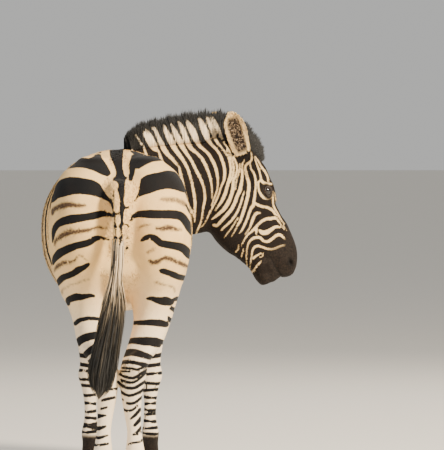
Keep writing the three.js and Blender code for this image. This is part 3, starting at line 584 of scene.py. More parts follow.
# %% Pale strokes of the neck and head, in the same plane
NECK_LIGHT = """135.4 135 1.2, 139.3 140.7 1.6, 143.9 147.1 2; 143.5 132 1.8, 147 137 4.5, 150 141 6.5,
153.2 145.5 7.5, 155.5 149 5, 158.5 151 1.5; 145.7 129.5 1.5, 150 135 3, 153 140 4; 152 126.5 1.3, 154.5 128.5 2.5,
157.1 134.3 3, 160.7 142 4, 163.8 148.6 5, 167.3 153.8 4.2, 171.4 158 3.5, 175.7 163 2.8, 179 166.5 1.3; 164 125 1.5,
165.7 130.7 4, 169.3 137.9 5.5, 172.3 144.3 5.5, 175.7 150 4.5, 180 155.7 4, 184.3 162.1 3.3, 187.9 169.3 3,
190 176.4 2.7, 192.1 184.3 2.7, 193.7 192.1 3, 195 202 3, 195 209 2.5, 194.7 216 2.2, 194.6 222 1.2; 188 203 1.8,
191 210.5 2.2, 194 217 1.8; 171.4 124.3 1.5, 174.3 130.7 4, 177.9 137.9 5, 181.4 145 5, 185.7 152.1 3.7,
190.7 159.3 3, 194.3 166.4 3, 197.9 173.6 3, 201.4 180.7 2.8, 203.9 188.6 2.5, 205 197.5 2.5, 204 203.8 2.5,
202.5 211.3 2, 201.9 217.5 2, 200.6 223 2, 198.1 228.8 2, 195.8 234.5 1.3; 178.5 121.5 1.5, 181.5 127 4, 185 135.7 5,
187.9 142.9 4.8, 191.4 148.6 4, 197.1 153.5 3, 202.1 158.9 3.3, 205.7 165.7 3, 208.6 172.9 3, 210.7 180 2.4,
211.8 187.1 2, 212 194 1.7, 211.6 199.5 1; 186.5 119.5 1.5, 188.5 124 4, 191.5 129 6, 194.3 135 6.3, 196.5 140.5 5,
199.8 146 3.5, 204.3 149.8 3, 209.3 155 3, 212.9 161.4 3.3, 215.7 167.9 3.3, 217.2 175 3, 217.9 182 2.2,
217.1 189.3 1.8, 215 196.3 1.8, 212.5 202.5 1.5, 211.3 205.5 1; 198.2 116.8 1.5, 200.5 121 4, 203 127 6,
205.5 133 6.3, 208 139.5 4.5, 211.5 144.5 3, 215.5 148.5 2.7, 219.3 153.5 2.7, 222.2 160.3 3, 224.2 167 3,
224.7 174.3 3, 223.7 181 2.5, 221 187 2, 218.6 195 2, 215 203 2, 211.3 209.4 2, 208.8 214.4 1.8, 206 220.5 1.4,
202.6 226.3 1; 205.7 115.4 1.5, 208.6 120.7 3.5, 211.4 127.1 4.2, 213.6 133.6 4, 215.9 140 3, 219 144.5 2.3,
223.7 150.3 2, 227.7 156.3 2, 229.9 162.3 2.3, 230.8 169 2.5, 230.2 175 2.5, 228.5 181.7 3, 226.7 188.3 3.3,
224.7 195 3.5, 221.3 201.9 3, 218.1 206.3 2.2, 215 210.6 1.5; 211.1 115 1.3, 214 120.7 3.3, 217.3 127.5 3.8,
220.3 134.5 3.3, 223.5 141 2.2, 226.5 146.3 1.7, 229.5 151 1.5, 231.5 157 1.5, 233 163 2, 233.8 169 2.2, 233 175 2.2,
231 180 2, 228.8 183.5 1.5; 233.5 156 1.2, 235.5 161 2, 237 165.5 2.3, 237 171 2.2, 235.3 176.5 2, 233.3 182 2.5,
232.6 190 3.5, 231.3 195.3 3.5, 228 203 4, 224 209 3.8, 219.5 213.2 3.2, 215 217 2.5, 212 219.2 1.5; 240 163.7 1.3,
239.7 169 1.5, 238.3 175 1.5, 236.3 181.7 1.6, 235.6 189 1.5; 244 160.3 1.5, 242.3 165 2, 242 170.3 2.3,
242.3 175.7 2.6, 241.7 181.7 3, 240 190 3.9, 237 196.7 3.5, 234.5 203.5 3.5, 231 210 3.5, 226 215.8 3.4,
221 221.3 3.2, 217 225.5 3, 213.8 225 3; 244.3 191.3 1.2, 242.5 197.3 2, 240.7 203.5 2.3, 238.5 209.5 2.3,
234.8 216 2.5, 230 222 2.5, 225 226.5 2.3, 221.6 230 2; 251 152.5 1.5, 251.7 158 2, 250.3 161.7 2.5, 247 164 2.3,
245.2 167.5 2.3, 246 172 2.8, 247.5 178 3, 249 184 3.3, 248.6 190 3.5, 247.7 196.7 3.3, 246 203.3 3.2, 244 210 3.2,
242 216 3, 240 221.3 2.8, 237.3 226 2, 234.7 231.3 1.5, 231.3 236.7 1; 237.6 218 1.5, 233.8 224.4 1.7, 230 230 1.6,
226.9 233.8 1.4, 224.4 238 1; 250 163 1.5, 251 169 2, 253.7 173 2.3, 255.3 178.3 2.3, 255.7 185 2.3, 255.2 191 2.3,
254.8 196 2.6, 254 201 3, 253.3 205.3 3.5, 251.3 208 3, 249.3 212.7 2.8, 247.3 218.7 2.6, 244.7 224.7 2.5, 242 230 2,
239.3 233.3 1.3; 255.3 203.3 2.5, 258.7 205.3 2.8, 263.3 206.7 2.8, 268 207.7 2.8, 272 210 2.8, 275.3 214 2,
278.7 216.7 1.3, 282 222 1, 286.7 230.7 0.8; 260 212.7 2, 256.7 213.3 3, 254 216.7 3, 252 222 2.8, 250 227.3 2,
247.3 231.3 1.5, 244.7 235.3 1; 284.7 230 1, 282 226 1.2, 278.7 221.3 2, 275.3 218 3, 270.7 218.7 3.3, 267.3 218.7 3,
262.7 220.7 3, 258.7 224 2.8, 255.3 228 3, 252 231.3 2.3, 248 234.7 2, 244.7 239.3 1.8, 242.7 243.3 1.5,
240.7 247.3 1.2; 256.5 229 3, 256.2 233.5 2; 260 230.7 3, 262.7 232.7 4.5, 266.7 232.3 4.8, 270.7 230 3.8,
274.7 227.3 3, 278 226.7 2.5, 281.3 228 1.5; 285 239.3 1.5, 282 236 2.8, 278.7 234.7 3, 274.7 236.7 3, 270.7 240 3,
267.3 241.7 2.8, 263.3 240.7 2.8, 260.7 238 2.8, 257.3 237.3 3, 253.3 238.3 2.8, 250 241 2.3, 247.7 245.3 1.8,
246.7 251.3 1.5, 246.3 257.3 1.5, 246.7 263.3 1.3, 247.3 267.3 1; 285.7 245.3 2.3, 281.3 246 2.2, 276.7 248 2.5,
272 249.3 2.3, 266.7 248.7 2.2, 262.7 247.3 2.3, 258.7 246 2.5, 255.3 246.7 2.5, 252.7 250 2.3, 251.7 255.3 1.8,
250.7 262 1.5, 250 268.7 1.2; 253.3 258.7 2.2, 256.7 255.7 2, 260.7 253.3 1.5; 263.3 253.3 1.3, 262.7 256 1.3,
260 257.3 1.2; 251.3 272.7 2.2, 254 270 2, 256.7 266 1.8, 260 262.7 1.8, 261.3 260.7 1; 236 252 1.5, 238 249.3 1.5,
238.7 245.3 1; 241 257.3 1.5, 242.7 252.7 1.5, 243.3 248.7 1; 254.3 157.7 1.2, 256.3 163 1.8, 258.3 168.3 2,
260 173.7 2, 261 179 2, 258.5 182.5 2, 258.3 187 2, 259.7 192.3 2.5, 263 197 2.8, 267 198.3 3,
270.3 197.7 2.5; 261 179 2, 263 182.3 3, 267 183.7 3, 271.7 184 2; 255 156.3 1.2, 258.3 161 1.5, 261.7 167 2,
265 171.7 2.2, 267.7 177 2, 268.3 181.7 2; 272.7 191.3 1.5, 273 198.7 2, 273.3 204.7 2, 275.3 209.3 2,
278.7 214.7 1.5, 281.3 219.3 1, 284.7 224 0.8; 274.7 192.7 1, 276 200 1.2, 277.3 205.3 1.2, 280 210.7 1.2,
283.3 216 1, 287.3 222 1, 290.7 228.7 0.8; 132 150 2, 139 178 4, 145 206 4, 150 236 3; 143.9 147.1 2, 151 172 4,
158 202 4.2, 163 232 3; 158.5 151 2, 166 174 4, 172 200 4.2, 176 226 3.5, 178 246 2; 179 166.5 2, 183 186 3.6,
186 206 3.6, 187 226 3"""
print("pale strokes on neck and head", NECK_LIGHT.count(";") + 1)

# %% Strokes of the flanks, along and up, and of the chest, sideways and up, in millimetres
FLANK_DARK = """-400 1240 30, -405 1100 40, -415 950 42, -420 820 35, -425 700 25; -300 1250 30, -315 1100 42,
-325 950 42, -335 800 38, -340 690 22; -215 1250 32, -228 1100 44, -235 950 44, -238 800 38,
-235 680 20; -130 1245 32, -138 1100 44, -142 950 45, -140 800 38, -130 675 20; -45 1245 32, -48 1100 44, -46 950 44,
-38 800 38, -22 672 20; 40 1247 32, 46 1110 42, 56 960 42, 70 810 36, 90 680 20; 120 1250 30, 135 1130 40, 155 990 40,
178 840 36, 205 705 20; -520 1150 30, -500 1000 38, -470 900 30; 400 1050 60, 350 1085 56, 290 1130 52, 240 1185 44,
200 1245 30; 400 935 34, 350 960 38, 290 1000 42, 235 1055 36, 195 1115 22; 400 862 34, 345 882 36, 290 905 36,
240 935 24, 215 955 10; 400 786 28, 340 800 32, 285 815 26, 245 825 12; 400 715 28, 350 722 26, 310 725 16"""
CHEST_DARK = """0 735 12, 80 748 20, 165 775 14; 0 800 18, 90 815 28, 190 850 20; 0 872 20, 95 890 32,
200 930 24; 0 948 22, 100 970 34, 210 1010 28; 0 1022 20, 100 1050 34, 210 1100 28; 60 1130 14, 140 1150 26,
200 1190 22"""
FLANK_SHADOW = """400 992 16, 330 1030 18, 270 1075 12; 400 900 16, 330 925 16, 270 955 12; 400 822 14, 320 842 14,
265 858 10; -90 1050 8, -92 900 12, -85 780 8; 5 1040 8, 8 900 12, 18 780 8; 95 1040 8, 108 900 12, 125 780 8"""
FORE_RINGS = [(435, 15), (470, 17), (520, 22), (575, 26), (635, 30), (700, 34), (770, 36)]  # height, width of bands
FORE_LOW = {1: (411, 384, 354, 321, 287, 258, 231, 210, 196, 181),  # heights of the narrow bands, left and right
            -1: (400, 367, 338, 311, 286, 263, 246, 221, 192, 173)}
PASTERN_TOP = {"hind": 158, "fore": 165}  # the feet are dark below these heights
print("strokes on the flanks", FLANK_DARK.count(";") + 1, "chest", CHEST_DARK.count(";") + 1)

# %% Distance to the edge of a stroke
NEAR, NEAR_MM = 16.0, 60.0  # strokes count up to this far from their edges, in the hind view's units and in mm
PIXEL = 3.75  # millimetres for one unit of the strokes seen from behind
VIEWER, FOCAL = np.array([0.0, 15600.0, 1340.0]), 4170.0  # where the strokes' lines of sight meet, and their scale
AXIS = 120, 129  # across and height, in units, of the line of sight square to the plane


def read_strokes(text):
    """Each stroke as an array of places, with a cubic curve through them every unit or so."""
    strokes = []
    for stroke in text.split(";"):
        rows = np.array([row.split() for row in stroke.split(",")], float)
        length = np.linalg.norm(np.diff(rows[:, :2], axis=0), axis=1).sum()
        count = int(length / max(0.7, rows[:, 2].mean() / 5)) + 2
        strokes.append(blend_rows(rows, np.linspace(0, 1, count)))
    return strokes


def stroke_edge(flat, text, near=NEAR):
    """Distance to the nearest stroke's edge, negative inside it: the least of distance to a place less half its
    width."""
    best = np.full(len(flat), near)
    for line in read_strokes(text):
        inside = ((flat > line[:, :2].min(0) - near) & (flat < line[:, :2].max(0) + near)).all(1)
        if not inside.any():
            continue
        for part in np.array_split(np.flatnonzero(inside), 1 + int(inside.sum() * len(line) / 4e6)):
            gap = np.sqrt(((flat[part, None] - line[None, :, :2]) ** 2).sum(2)) - line[:, 2] / 2
            best[part] = np.minimum(best[part], gap.min(1))
    return best


def seen_from_behind(points):
    """Across and height in the strokes' units: offset from the viewer, times the focal length, over the depth."""
    depth = VIEWER[1] - points[:, 1]
    return np.stack([AXIS[0] - FOCAL * (points[:, 0] - VIEWER[0]) / depth,
                     AXIS[1] - FOCAL * (points[:, 2] - VIEWER[2]) / depth], 1)


rump = np.array([[0, 500, 1150.0]])
print("the rump's place in the strokes' plane", seen_from_behind(rump).round(1))


# %% Stripes of the trunk and hind legs
def facing_back(normals):
    """How squarely the skin faces back: the y part of its direction over the sum of its parts, with height counting a
    quarter."""
    x, y, z = np.abs(normals).T
    return normals[:, 1] / (x + y + 0.25 * z + 1e-6)


def share_behind(points, facing, away, least):
    """1 where the strokes seen from behind hold and 0 where the flank's do: a soft step on the skin's facing, but
    always 1 on the lower hind legs and the dock."""
    _, y, z = points.T
    inward = .13 * step(200, 330, y)
    behind = step(0.08 - inward, 0.22 - 1.2 * inward, facing) * step(170, 290, y)
    on_leg = (np.minimum(away["hind_left"], away["hind_right"]) < away["trunk"] + .3) & (y > 250)
    behind = np.where(on_leg, np.maximum(behind, 1 - step(560, 660, z)), behind)
    return np.where(away["dock"] <= least + .02, 1, behind)


def hind_stripes(points):
    """Dark strokes less the pale strokes across them, in millimetres from the edge, a little bolder on the legs."""
    rear = seen_from_behind(points)
    dark = np.maximum(-stroke_edge(rear, REAR_DARK), -NEAR)
    dark = np.minimum(dark, stroke_edge(rear, REAR_LIGHT)) * PIXEL
    return dark + 1.3 * (1 - step(560, 660, points[:, 2]))


def side_stripes(points, facing):
    """The flank's strokes, the chest's where the skin faces forward, and a dark line along the back and the belly."""
    x, y, z = points.T
    flank = -stroke_edge(points[:, 1:], FLANK_DARK, NEAR_MM)
    chest = -stroke_edge(np.stack([np.abs(x), z], 1), CHEST_DARK, NEAR_MM)
    front = step(.3, .55, -facing) * step(330, 400, -y)
    spine = 20 - np.abs(x - 4) + np.where(z > 1150, 0, -400)
    belly = np.where(z < 700, 16 - np.abs(x - 8), -NEAR_MM)
    return np.maximum(flank * (1 - front) + chest * front, np.maximum(spine, belly))


def fore_bands(points):
    """Bands round the front legs: half a band's width less the height from its middle, on a slant. Below the knee they
    are narrow, and a slow wave breaks them here and there."""
    x, y, z = points.T
    upper = np.max([w / 2 - np.abs(z - h - 0.12 * (np.abs(x) - 130)) for h, w in FORE_RINGS], axis=0)
    slant = .08 * (np.abs(x) - 117) + .05 * (y + 405)
    lower = np.where(x > 0, *[np.max([6.2 - np.abs(z - h - slant * (-1) ** k) for k, h in enumerate(FORE_LOW[side])],
                                     axis=0) for side in (1, -1)])
    lower = lower - 2.5 * step(.2, .9, np.sin(x * .11 + z * .05) * np.sin(y * .09 - z * .03))
    return np.where(z > 424, upper, lower)


print("bands at the front knee, mm", fore_bands(np.array([[117, -405, z] for z in (411.0, 398.0)])).round(1))


# %% Stripes of the neck and head
MUZZLE = 425  # from here down the face the skin is dark, mm; on the chin and on the nose it begins elsewhere
EYE_RING, RING_EDGE = (203, EYE["above"]), (21, 27)  # down and above of the dark ring's middle, and where it fades


def near_side(points, normals, head, on_head):
    """The far side of the neck and head repeats the near side: a point there is looked up at its mirror place, in the
    neck's own section or in the head's frame."""
    along, _, offset, _ = chart(SKIN_LOFTS["neck"], points)
    side = section(SKIN_LOFTS["neck"], along)[2]
    left_side = (normals * side).sum(1) > .1
    probe = points - 2 * np.where(left_side, np.maximum(offset, 0), 0)[:, None] * side
    hidden = on_head & (normals[:, 1] < .03)
    flipped = np.stack([-np.abs(head[:, 0]), -head[:, 1], head[:, 2]], 1) @ HEAD[:3, :3].T + HEAD[:3, 3]
    probe[hidden] = flipped[hidden]
    return probe


def share_neck(points, facing, away, least, on_head):
    """1 on the neck and head and 0 on the trunk and front legs: a soft step on which of them is nearer, and always 1
    where the neck's skin faces back or lies on top."""
    _, y, z = points.T
    front = np.minimum(away["neck"], np.where(on_head, least, 9))
    rest = np.minimum.reduce([away["trunk"], away["fore_left"], away["fore_right"]])
    share = np.maximum(step(-0.12, 0.12, rest - front), step(0, .12, facing))
    return np.where(y < -200, np.maximum(share, step(1120, 1190, z) * step(280, 360, -y)), 0)


def dark_skin(points, head, on_head):
    """Muzzle, feet and the ring round the eye: each a soft step on the distance from its line, and the largest
    holds."""
    muzzle = head[:, 1] - (MUZZLE + .8 * np.maximum(0, -60 - head[:, 2]) - 1.2 * np.maximum(0, head[:, 2] - 5))
    top = np.where(points[:, 1] > 0, PASTERN_TOP["hind"], PASTERN_TOP["fore"])
    soot = np.maximum(step(-16, 14, muzzle) * on_head, 1 - step(-10, 12, points[:, 2] - top))
    from_eye = np.sqrt(((head[:, 1] - EYE_RING[0]) / 1.4) ** 2 + (head[:, 2] - EYE_RING[1]) ** 2)
    return np.maximum(soot, np.where(on_head, 1 - step(*RING_EDGE, from_eye), 0))


def ear_marks(points, normals, away, least, value):
    """On the back of an ear bands by height; in its hollow a share of dark hair and painted shade, fading to the rim.
    """
    hollow_hair_and_shade = np.zeros(len(points))
    for name, side in (("ear_left", 1), ("ear_right", -1)):
        local = to_local(SKIN_LOFTS[name]["matrix"], points)
        up, half = local[:, 1], np.interp(local[:, 1], [row[0] for row in EAR], [row[1] for row in EAR])
        on_ear = (away[name] <= least + .01) & (up > 2)
        hollow = on_ear & (normals @ ear_frame(side)[:3, 2] < -.1)
        # Darkest in the middle of the hollow: dark hair and painted shade.
        middle = 1 - step(.48, .74, np.abs(local[:, 0]) / half)
        hollow_hair_and_shade = np.where(hollow, middle * step(2, 22, up) * (1 - step(140, 164, up)), hollow_hair_and_shade)
        back = np.select([up > 160, up > 112, up > 40], [-8, 8, 14 * np.sin(up / 13)], -8)
        value = np.where(on_ear, np.where(hollow, -10, back), value)
    return value, hollow_hair_and_shade


print("muzzle is dark from", MUZZLE, "mm down the face")


# %% The markings of any point of the coat
def soft(edge, low=-.6, high=1.2):
    """How far inside a stroke, as a soft share."""
    return step(low, high, -edge)


def markings(points, normals):
    """Dark edge distance in mm, shadow stripe, dark skin and warmth, each from its own strokes and mixed by which way
    the skin faces and which loft is nearest."""
    out = chart_all(points)[:, 3]
    away, least = dict(zip(CHARTS, out)), out.min(0)
    rear, head, facing = seen_from_behind(points), head_place(points), facing_back(normals)
    on_head = np.minimum.reduce([away["skull"], away["ear_left"], away["ear_right"]]) < away["neck"]
    behind = share_behind(points, facing, away, least)
    value = hind_stripes(points) * behind + side_stripes(points, facing) * (1 - behind)
    rest = np.minimum.reduce([away["trunk"], away["neck"], away["skull"]])
    fore = (np.minimum(away["fore_left"], away["fore_right"]) < rest) & (points[:, 1] < -200)
    fore_share = np.where(fore, 1 - step(700, 830, points[:, 2]), 0)
    value = value * (1 - fore_share) + fore_bands(points) * fore_share
    share = share_neck(points, facing, away, least, on_head) * (1 - step(0, .5, fore_share))
    pale = stroke_edge(seen_from_behind(near_side(points, normals, head, on_head)), NECK_LIGHT) * PIXEL
    value = value * (1 - share) + pale * share
    shadow = np.maximum(soft(stroke_edge(rear, REAR_SHADOW)), .7 * soft(stroke_edge(rear, REAR_FAINT)))
    flank_shadow = .8 * soft(stroke_edge(points[:, 1:], FLANK_SHADOW, 30.0), -3, 6)
    shadow = (shadow * behind + flank_shadow * (1 - behind)) * (1 - share) * (1 - fore_share)
    # Painted shade: a near black spot in each nostril's hollow stands in for the shade inside the opening.
    nostril_shade = 1.8 * np.exp(-((head[:, 1] - 500) / 15) ** 2 - ((head[:, 2] - 8) / 9) ** 2)
    value, hollow_hair_and_shade = ear_marks(points, normals, away, least, value)
    # Painted shade: a near black line along the crease where the lips meet.
    lips = np.exp(-(line_distance(head[:, 1:], MOUTH) / 3.5) ** 2)
    return {"dark_mm": value, "shadow": shadow, "soot": dark_skin(points, head, on_head), "warm": share,
            "nostril_shade": np.minimum(1, nostril_shade) * on_head, "ear_hollow_hair_and_shade": hollow_hair_and_shade, "mouth": lips * on_head}


def paint(mesh, layers):
    """Each layer is one number at every point of the mesh, kept as an attribute that the material reads by name."""
    for name, values in layers.items():
        mesh.attributes.new(name, "FLOAT", "POINT").data.foreach_set("value", np.asarray(values, np.float32))


skin_marks = markings(skin_points, skin_normals)
paint(skin_mesh, skin_marks | {"strand": np.full(len(skin_points), .5)})
print("share of the skin that is dark", round(float((skin_marks["dark_mm"] > 0).mean()), 2))

# %% [markdown]
# ## The skin laid flat
# A tuft's colour is kept at its root's place on a flat map, so the skin needs one. Each loft has a patch of its own:
# u runs along the loft and v round it. Unwrapping by angles would spread it more evenly, but a patch that follows the
# loft keeps the lie of the hair straight.

# %% Each loft on its own patch: left, bottom, width, height
PATCHES = {"trunk": (.01, .01, .46, .6), "neck": (.49, .01, .24, .42), "skull": (.75, .01, .24, .42),
           "hind_left": (.49, .45, .24, .26), "hind_right": (.75, .45, .24, .26), "fore_left": (.49, .73, .24, .25),
           "fore_right": (.75, .73, .24, .25), "dock": (.01, .63, .46, .1), "ear_left": (.01, .75, .22, .23),
           "ear_right": (.25, .75, .22, .23)}
triangles = np.empty(3 * len(skin_mesh.polygons), np.int32)
skin_mesh.polygons.foreach_get("vertices", triangles)
triangles = triangles.reshape(-1, 3)
skin_charts = chart_all(skin_points)
face_chart = skin_charts[:, 3].argmin(0)[triangles[:, 0]]
corner_chart, corner_point = np.repeat(face_chart, 3), triangles.ravel()
t, round_ = (skin_charts[corner_chart, k, corner_point] for k in (0, 1))
round_ = round_ - np.round(round_ - np.repeat(round_[::3], 3))  # a face that crosses v = 1 stays whole
patch = np.array([PATCHES[name] for name in CHARTS])[corner_chart]
uv = patch[:, :2] + patch[:, 2:] * np.stack([.02 + .96 * t, .03 + .94 * np.clip(round_, -.03, 1.03)], 1)
skin_mesh.uv_layers.new(name="OFBake").data.foreach_set("uv", uv.astype(np.float32).ravel())
print("unwrap from", uv.min(0).round(3), "to", uv.max(0).round(3))

# %% [markdown]
# ## The finishes
# The coat is short hair, so it is rough with a soft sheen at the edge, never glossy. Where a stripe ends, single dark
# and pale hairs lie across each other, and a fine noise added to the distance from the edge draws that. The pattern
# comes from attributes of the skin and of the tufts, so both carry the same markings. A painted image could hold
# more, but would blur close up.


# %% Colours and one function that adds a node
def tint(code):
    """An sRGB hex value turned to linear: v/12.92 when small, otherwise ((v + 0.055)/1.055) to the power 2.4. The
    fourth number is full opacity."""
    v = np.array([int(code[k:k + 2], 16) / 255 for k in (1, 3, 5)])
    return (*np.where(v <= .04045, v / 12.92, ((v + .055) / 1.055) ** 2.4), 1.0)


def node(tree, kind, inputs=(), settings=(), out=0):
    """Adds one node and gives its output. Inputs are values or links, in order or by socket; settings are its
    properties."""
    made = tree.nodes.new("ShaderNode" + kind)
    for name, value in dict(settings).items():
        setattr(made, name, value)
    for socket, value in (inputs if isinstance(inputs, dict) else dict(enumerate(inputs))).items():
        if isinstance(value, bpy.types.NodeSocket):
            tree.links.new(value, made.inputs[socket])
        else:
            made.inputs[socket].default_value = value
    return made.outputs[out]


def new_material(name, **sockets):
    """An empty material of that name: its node tree, its shader with the sockets set, and its Object coordinates."""
    material = bpy.data.materials.new(name)
    material.use_nodes = True
    tree, shader = material.node_tree, material.node_tree.nodes["Principled BSDF"]
    for socket, value in sockets.items():
        shader.inputs[socket.replace("_", " ")].default_value = value
    return material, tree, shader, node(tree, "TexCoord", out="Object")


# Settings and output of a Mix node whose sockets are 0 the share, 6 the colour below and 7 the colour above.
OVER, TIMES = ({"data_type": "RGBA"}, 2), ({"data_type": "RGBA", "blend_type": "MULTIPLY"}, 2)
print("mid grey is", round(float(tint("#808080")[0]), 3), "in linear light")

# %% [markdown]
# ## Striped coat
# Short mammal hair, rough, with a little sheen: pale hairs are cream on the back and whiter on the legs, and dark
# hairs are black with a brown cast. Between the broad dark bars of the haunch lie faint brown shadow stripes. Skin
# without hair on the muzzle and round the eye is near black. Painted shade darkens the nostrils and the line between
# the lips, and the middle of each ear's hollow holds dark hair and painted shade.

# %% Where each colour of the coat lies
# Hairs are 0.05 mm thick, too fine to show, so the grain is drawn as tufts 5 mm across.
coat_material, tree, shader, place = new_material("short striped hair", Roughness=.82, Sheen_Weight=.02,
                                                  Sheen_Roughness=.5, Specular_IOR_Level=.18)
FRAY = 5.0  # the grain shifts a stripe's edge by up to this many millimetres
EDGE, EDGE_SOFT = 2.0, 1.3  # where the dark begins on the shifted distance, and how far it fades each way, mm
grain = node(tree, "TexNoise", {"Vector": place, "Scale": 1000 / 5, "Detail": 3}, out="Fac")
blotch = node(tree, "TexNoise", {"Vector": place, "Scale": 1000 / 90, "Detail": 2}, out="Fac")
dark_mm, warm, shadow, soot, mouth, nostril_shade, ear_hollow_hair_and_shade, strand = (
    node(tree, "Attribute", settings={"attribute_name": name}, out="Fac")
    for name in ("dark_mm", "warm", "shadow", "soot", "mouth", "nostril_shade", "ear_hollow_hair_and_shade", "strand"))
edge = node(tree, "Math", [grain, FRAY, dark_mm], {"operation": "MULTIPLY_ADD"})
dark = node(tree, "MapRange", [edge, EDGE - EDGE_SOFT, EDGE + EDGE_SOFT])
height = node(tree, "SeparateXYZ", [place], out=2)
on_legs = node(tree, "MapRange", [height, .85, .5])  # metres above the ground
uneven = [node(tree, "MapRange", [blotch, low, .7, 0, .4]) for low in (.35, .4)]
broken = node(tree, "MapRange", [grain, .3, .6, .7, 1.25])
shadow_share = node(tree, "Math", [shadow, broken], {"operation": "MULTIPLY"})
print("the coat reads", [n.attribute_name for n in tree.nodes if n.type == "ATTRIBUTE"])

# %% The colours of the coat
pale, deep = tint("#ecc685"), tint("#0c0c0e")
for share, over in ((warm, "#e3c690"), (uneven[0], "#cba06a"), (on_legs, "#efdcbd")):
    pale = node(tree, "Mix", {0: share, 6: pale, 7: tint(over)}, *OVER)
for share, over in ((warm, "#140d09"), (uneven[1], "#1b1410")):
    deep = node(tree, "Mix", {0: share, 6: deep, 7: tint(over)}, *OVER)
sparse, fringe = (node(tree, "MapRange", [grain, *span]) for span in ((.35, .7), (.5, .62)))
bare = node(tree, "Mix", {0: sparse, 6: tint("#0f0b09"), 7: tint("#2a221d")}, *OVER)
# Dark hair and painted shade in the ear's hollow, broken by pale hairs.
hollow_hair_and_shade = node(tree, "Mix", {0: fringe, 6: tint("#1d1410"), 7: tint("#a08a70")}, *OVER)
colour = pale
# Among these, the nostrils and the line between the lips are painted shade, and the middle of the ear's hollow is dark
# hair with painted shade.
for share, over in ((shadow_share, tint("#493626")), (dark, deep), (soot, bare), (mouth, tint("#0e0a08")),
                    (nostril_shade, tint("#0c0908")), (ear_hollow_hair_and_shade, hollow_hair_and_shade)):
    colour = node(tree, "Mix", {0: share, 6: colour, 7: over}, *OVER)
streak = node(tree, "MapRange", [strand, 0, 1, .78, 1.22])
tree.links.new(node(tree, "Mix", {0: 1.0, 6: colour, 7: streak}, *TIMES), shader.inputs["Base Color"])
lie = node(tree, "Mapping", {"Vector": place, "Scale": (1, .35, .35)})  # the grain is longer along the body
hairs = node(tree, "TexNoise", {"Vector": lie, "Scale": 1000 / 3, "Detail": 2}, out="Fac")
tree.links.new(node(tree, "Bump", {"Strength": .35, "Distance": .0015, "Height": hairs}), shader.inputs["Normal"])
print("coat material", len(tree.nodes), "nodes")

# %% Show the skin
LEGS = {"hind": ("thigh", "gaskin", "cannon", "pastern"), "fore": ("forearm", "cannon", "pastern")}
leg_nodes = [f"{part}_{pair}_{side}" for side in ("left", "right") for pair, parts in LEGS.items() for part in parts]
show("skin", skin_mesh, coat_material, "striped_coat", "head", "neck", "trunk", "tail_dock", "ear_left", "ear_right",
     *leg_nodes)

# %% [markdown]
# ## Eyes and lids
# The eye of a horse is a dark globe whose clear front bulges a little and reflects the sky. A globe with a glossy
# coat over a brown iris gives that. The lids are rings that lie on the globe, thicker above, where the lashes stand.

# %% Eyeball: wet and smooth, so it has a clear coat
eye_material, tree, shader, place = new_material("wet eyeball", Roughness=.12, Coat_Weight=.35, Coat_Roughness=.03)
from_pupil = node(tree, "Attribute", settings={"attribute_name": "from_pupil"}, out="Fac")
fibres = node(tree, "TexNoise", {"Vector": place, "Scale": 1000 / 1.2, "Detail": 2}, out="Fac")
iris = node(tree, "Mix", {0: node(tree, "MapRange", [fibres, .35, .65]), 6: tint("#0d0806"), 7: tint("#1a100a")}, *OVER)
colour = tint("#050505")
for span, over in (((.85, 1.15), iris), ((3.1, 3.6), tint("#4a3a30"))):
    colour = node(tree, "Mix", {0: node(tree, "MapRange", [from_pupil, *span]), 6: colour, 7: over}, *OVER)
tree.links.new(colour, shader.inputs["Base Color"])
GLOBE_RINGS, GLOBE_SIDES = 28, 40


def globe(rings, sides):
    """A ball as rings about its own axis: height cos(a), radius sin(a), with the front drawn out by the cornea."""
    a, b = np.meshgrid(np.linspace(.03, np.pi - .03, rings), np.linspace(0, 2 * np.pi, sides, endpoint=False),
                       indexing="ij")
    bulge = 1 + .06 * np.exp(-(a / .5) ** 2)
    return np.stack([np.cos(a) * bulge, np.sin(a) * np.cos(b) * bulge, np.sin(a) * np.sin(b) * bulge], -1)


def eye_points(points, side):
    """From the eye's own axes (out, down the face, up) to the body: the axis looks sideways, a little forward."""
    out = unit(np.array([side * 1.0, -.18, .12]))
    face_down = np.array([0, -1.0, 0])
    down = unit(face_down - out * (face_down @ out))
    up = np.cross(out, down) * side
    up = up if up[2] > 0 else -up
    local = points @ np.stack([out, down, up]) + [EYE["sideways"] * side, -EYE["down"], EYE["above"]]
    return local @ HEAD[:3, :3].T + HEAD[:3, 3]


def outward(points, faces):
    """Turns every face round if the volume they enclose, the sum of its triangles' triple products, is negative."""
    volume = sum(float((np.cross(points[f[:, 0]], points[f[:, k]]) * points[f[:, k + 1]]).sum())
                 for f in faces for k in range(1, f.shape[1] - 1))
    return faces if volume > 0 else [f[:, ::-1] for f in faces]


ball = closed_tube(globe(GLOBE_RINGS, GLOBE_SIDES))
# The pupil of a horse is a lying oval: distance from it in its own half widths, and far off at the back.
pupil_distance = np.sqrt((ball[:, 1] / .34) ** 2 + (ball[:, 2] / .17) ** 2) + np.where(ball[:, 0] < 0, 9, 0)
for side, word in ((1, "left"), (-1, "right")):
    points = eye_points(ball * EYE["radius"], side)
    mesh = mesh_from_arrays(f"eyeball_{word}", points, outward(points, tube_faces(GLOBE_RINGS, GLOBE_SIDES)))
    paint(mesh, {"from_pupil": pupil_distance})
    show(f"eyeball_{word}", mesh, eye_material, "eyeball", f"eye_{word}")

# %% Lids: hairless skin, creased and a little greasy
lid_material, tree, shader, place = new_material("bare dark lid skin", Roughness=.5, Specular_IOR_Level=.4)
creases = node(tree, "TexNoise", {"Vector": place, "Scale": 1000 / 3, "Detail": 2}, out="Fac")
folds = node(tree, "MapRange", [creases, .35, .65])
colour = node(tree, "Mix", {0: folds, 6: tint("#17110e"), 7: tint("#2e231c")}, *OVER)
tree.links.new(colour, shader.inputs["Base Color"])
LID_RINGS, LID_SIDES = 64, 14


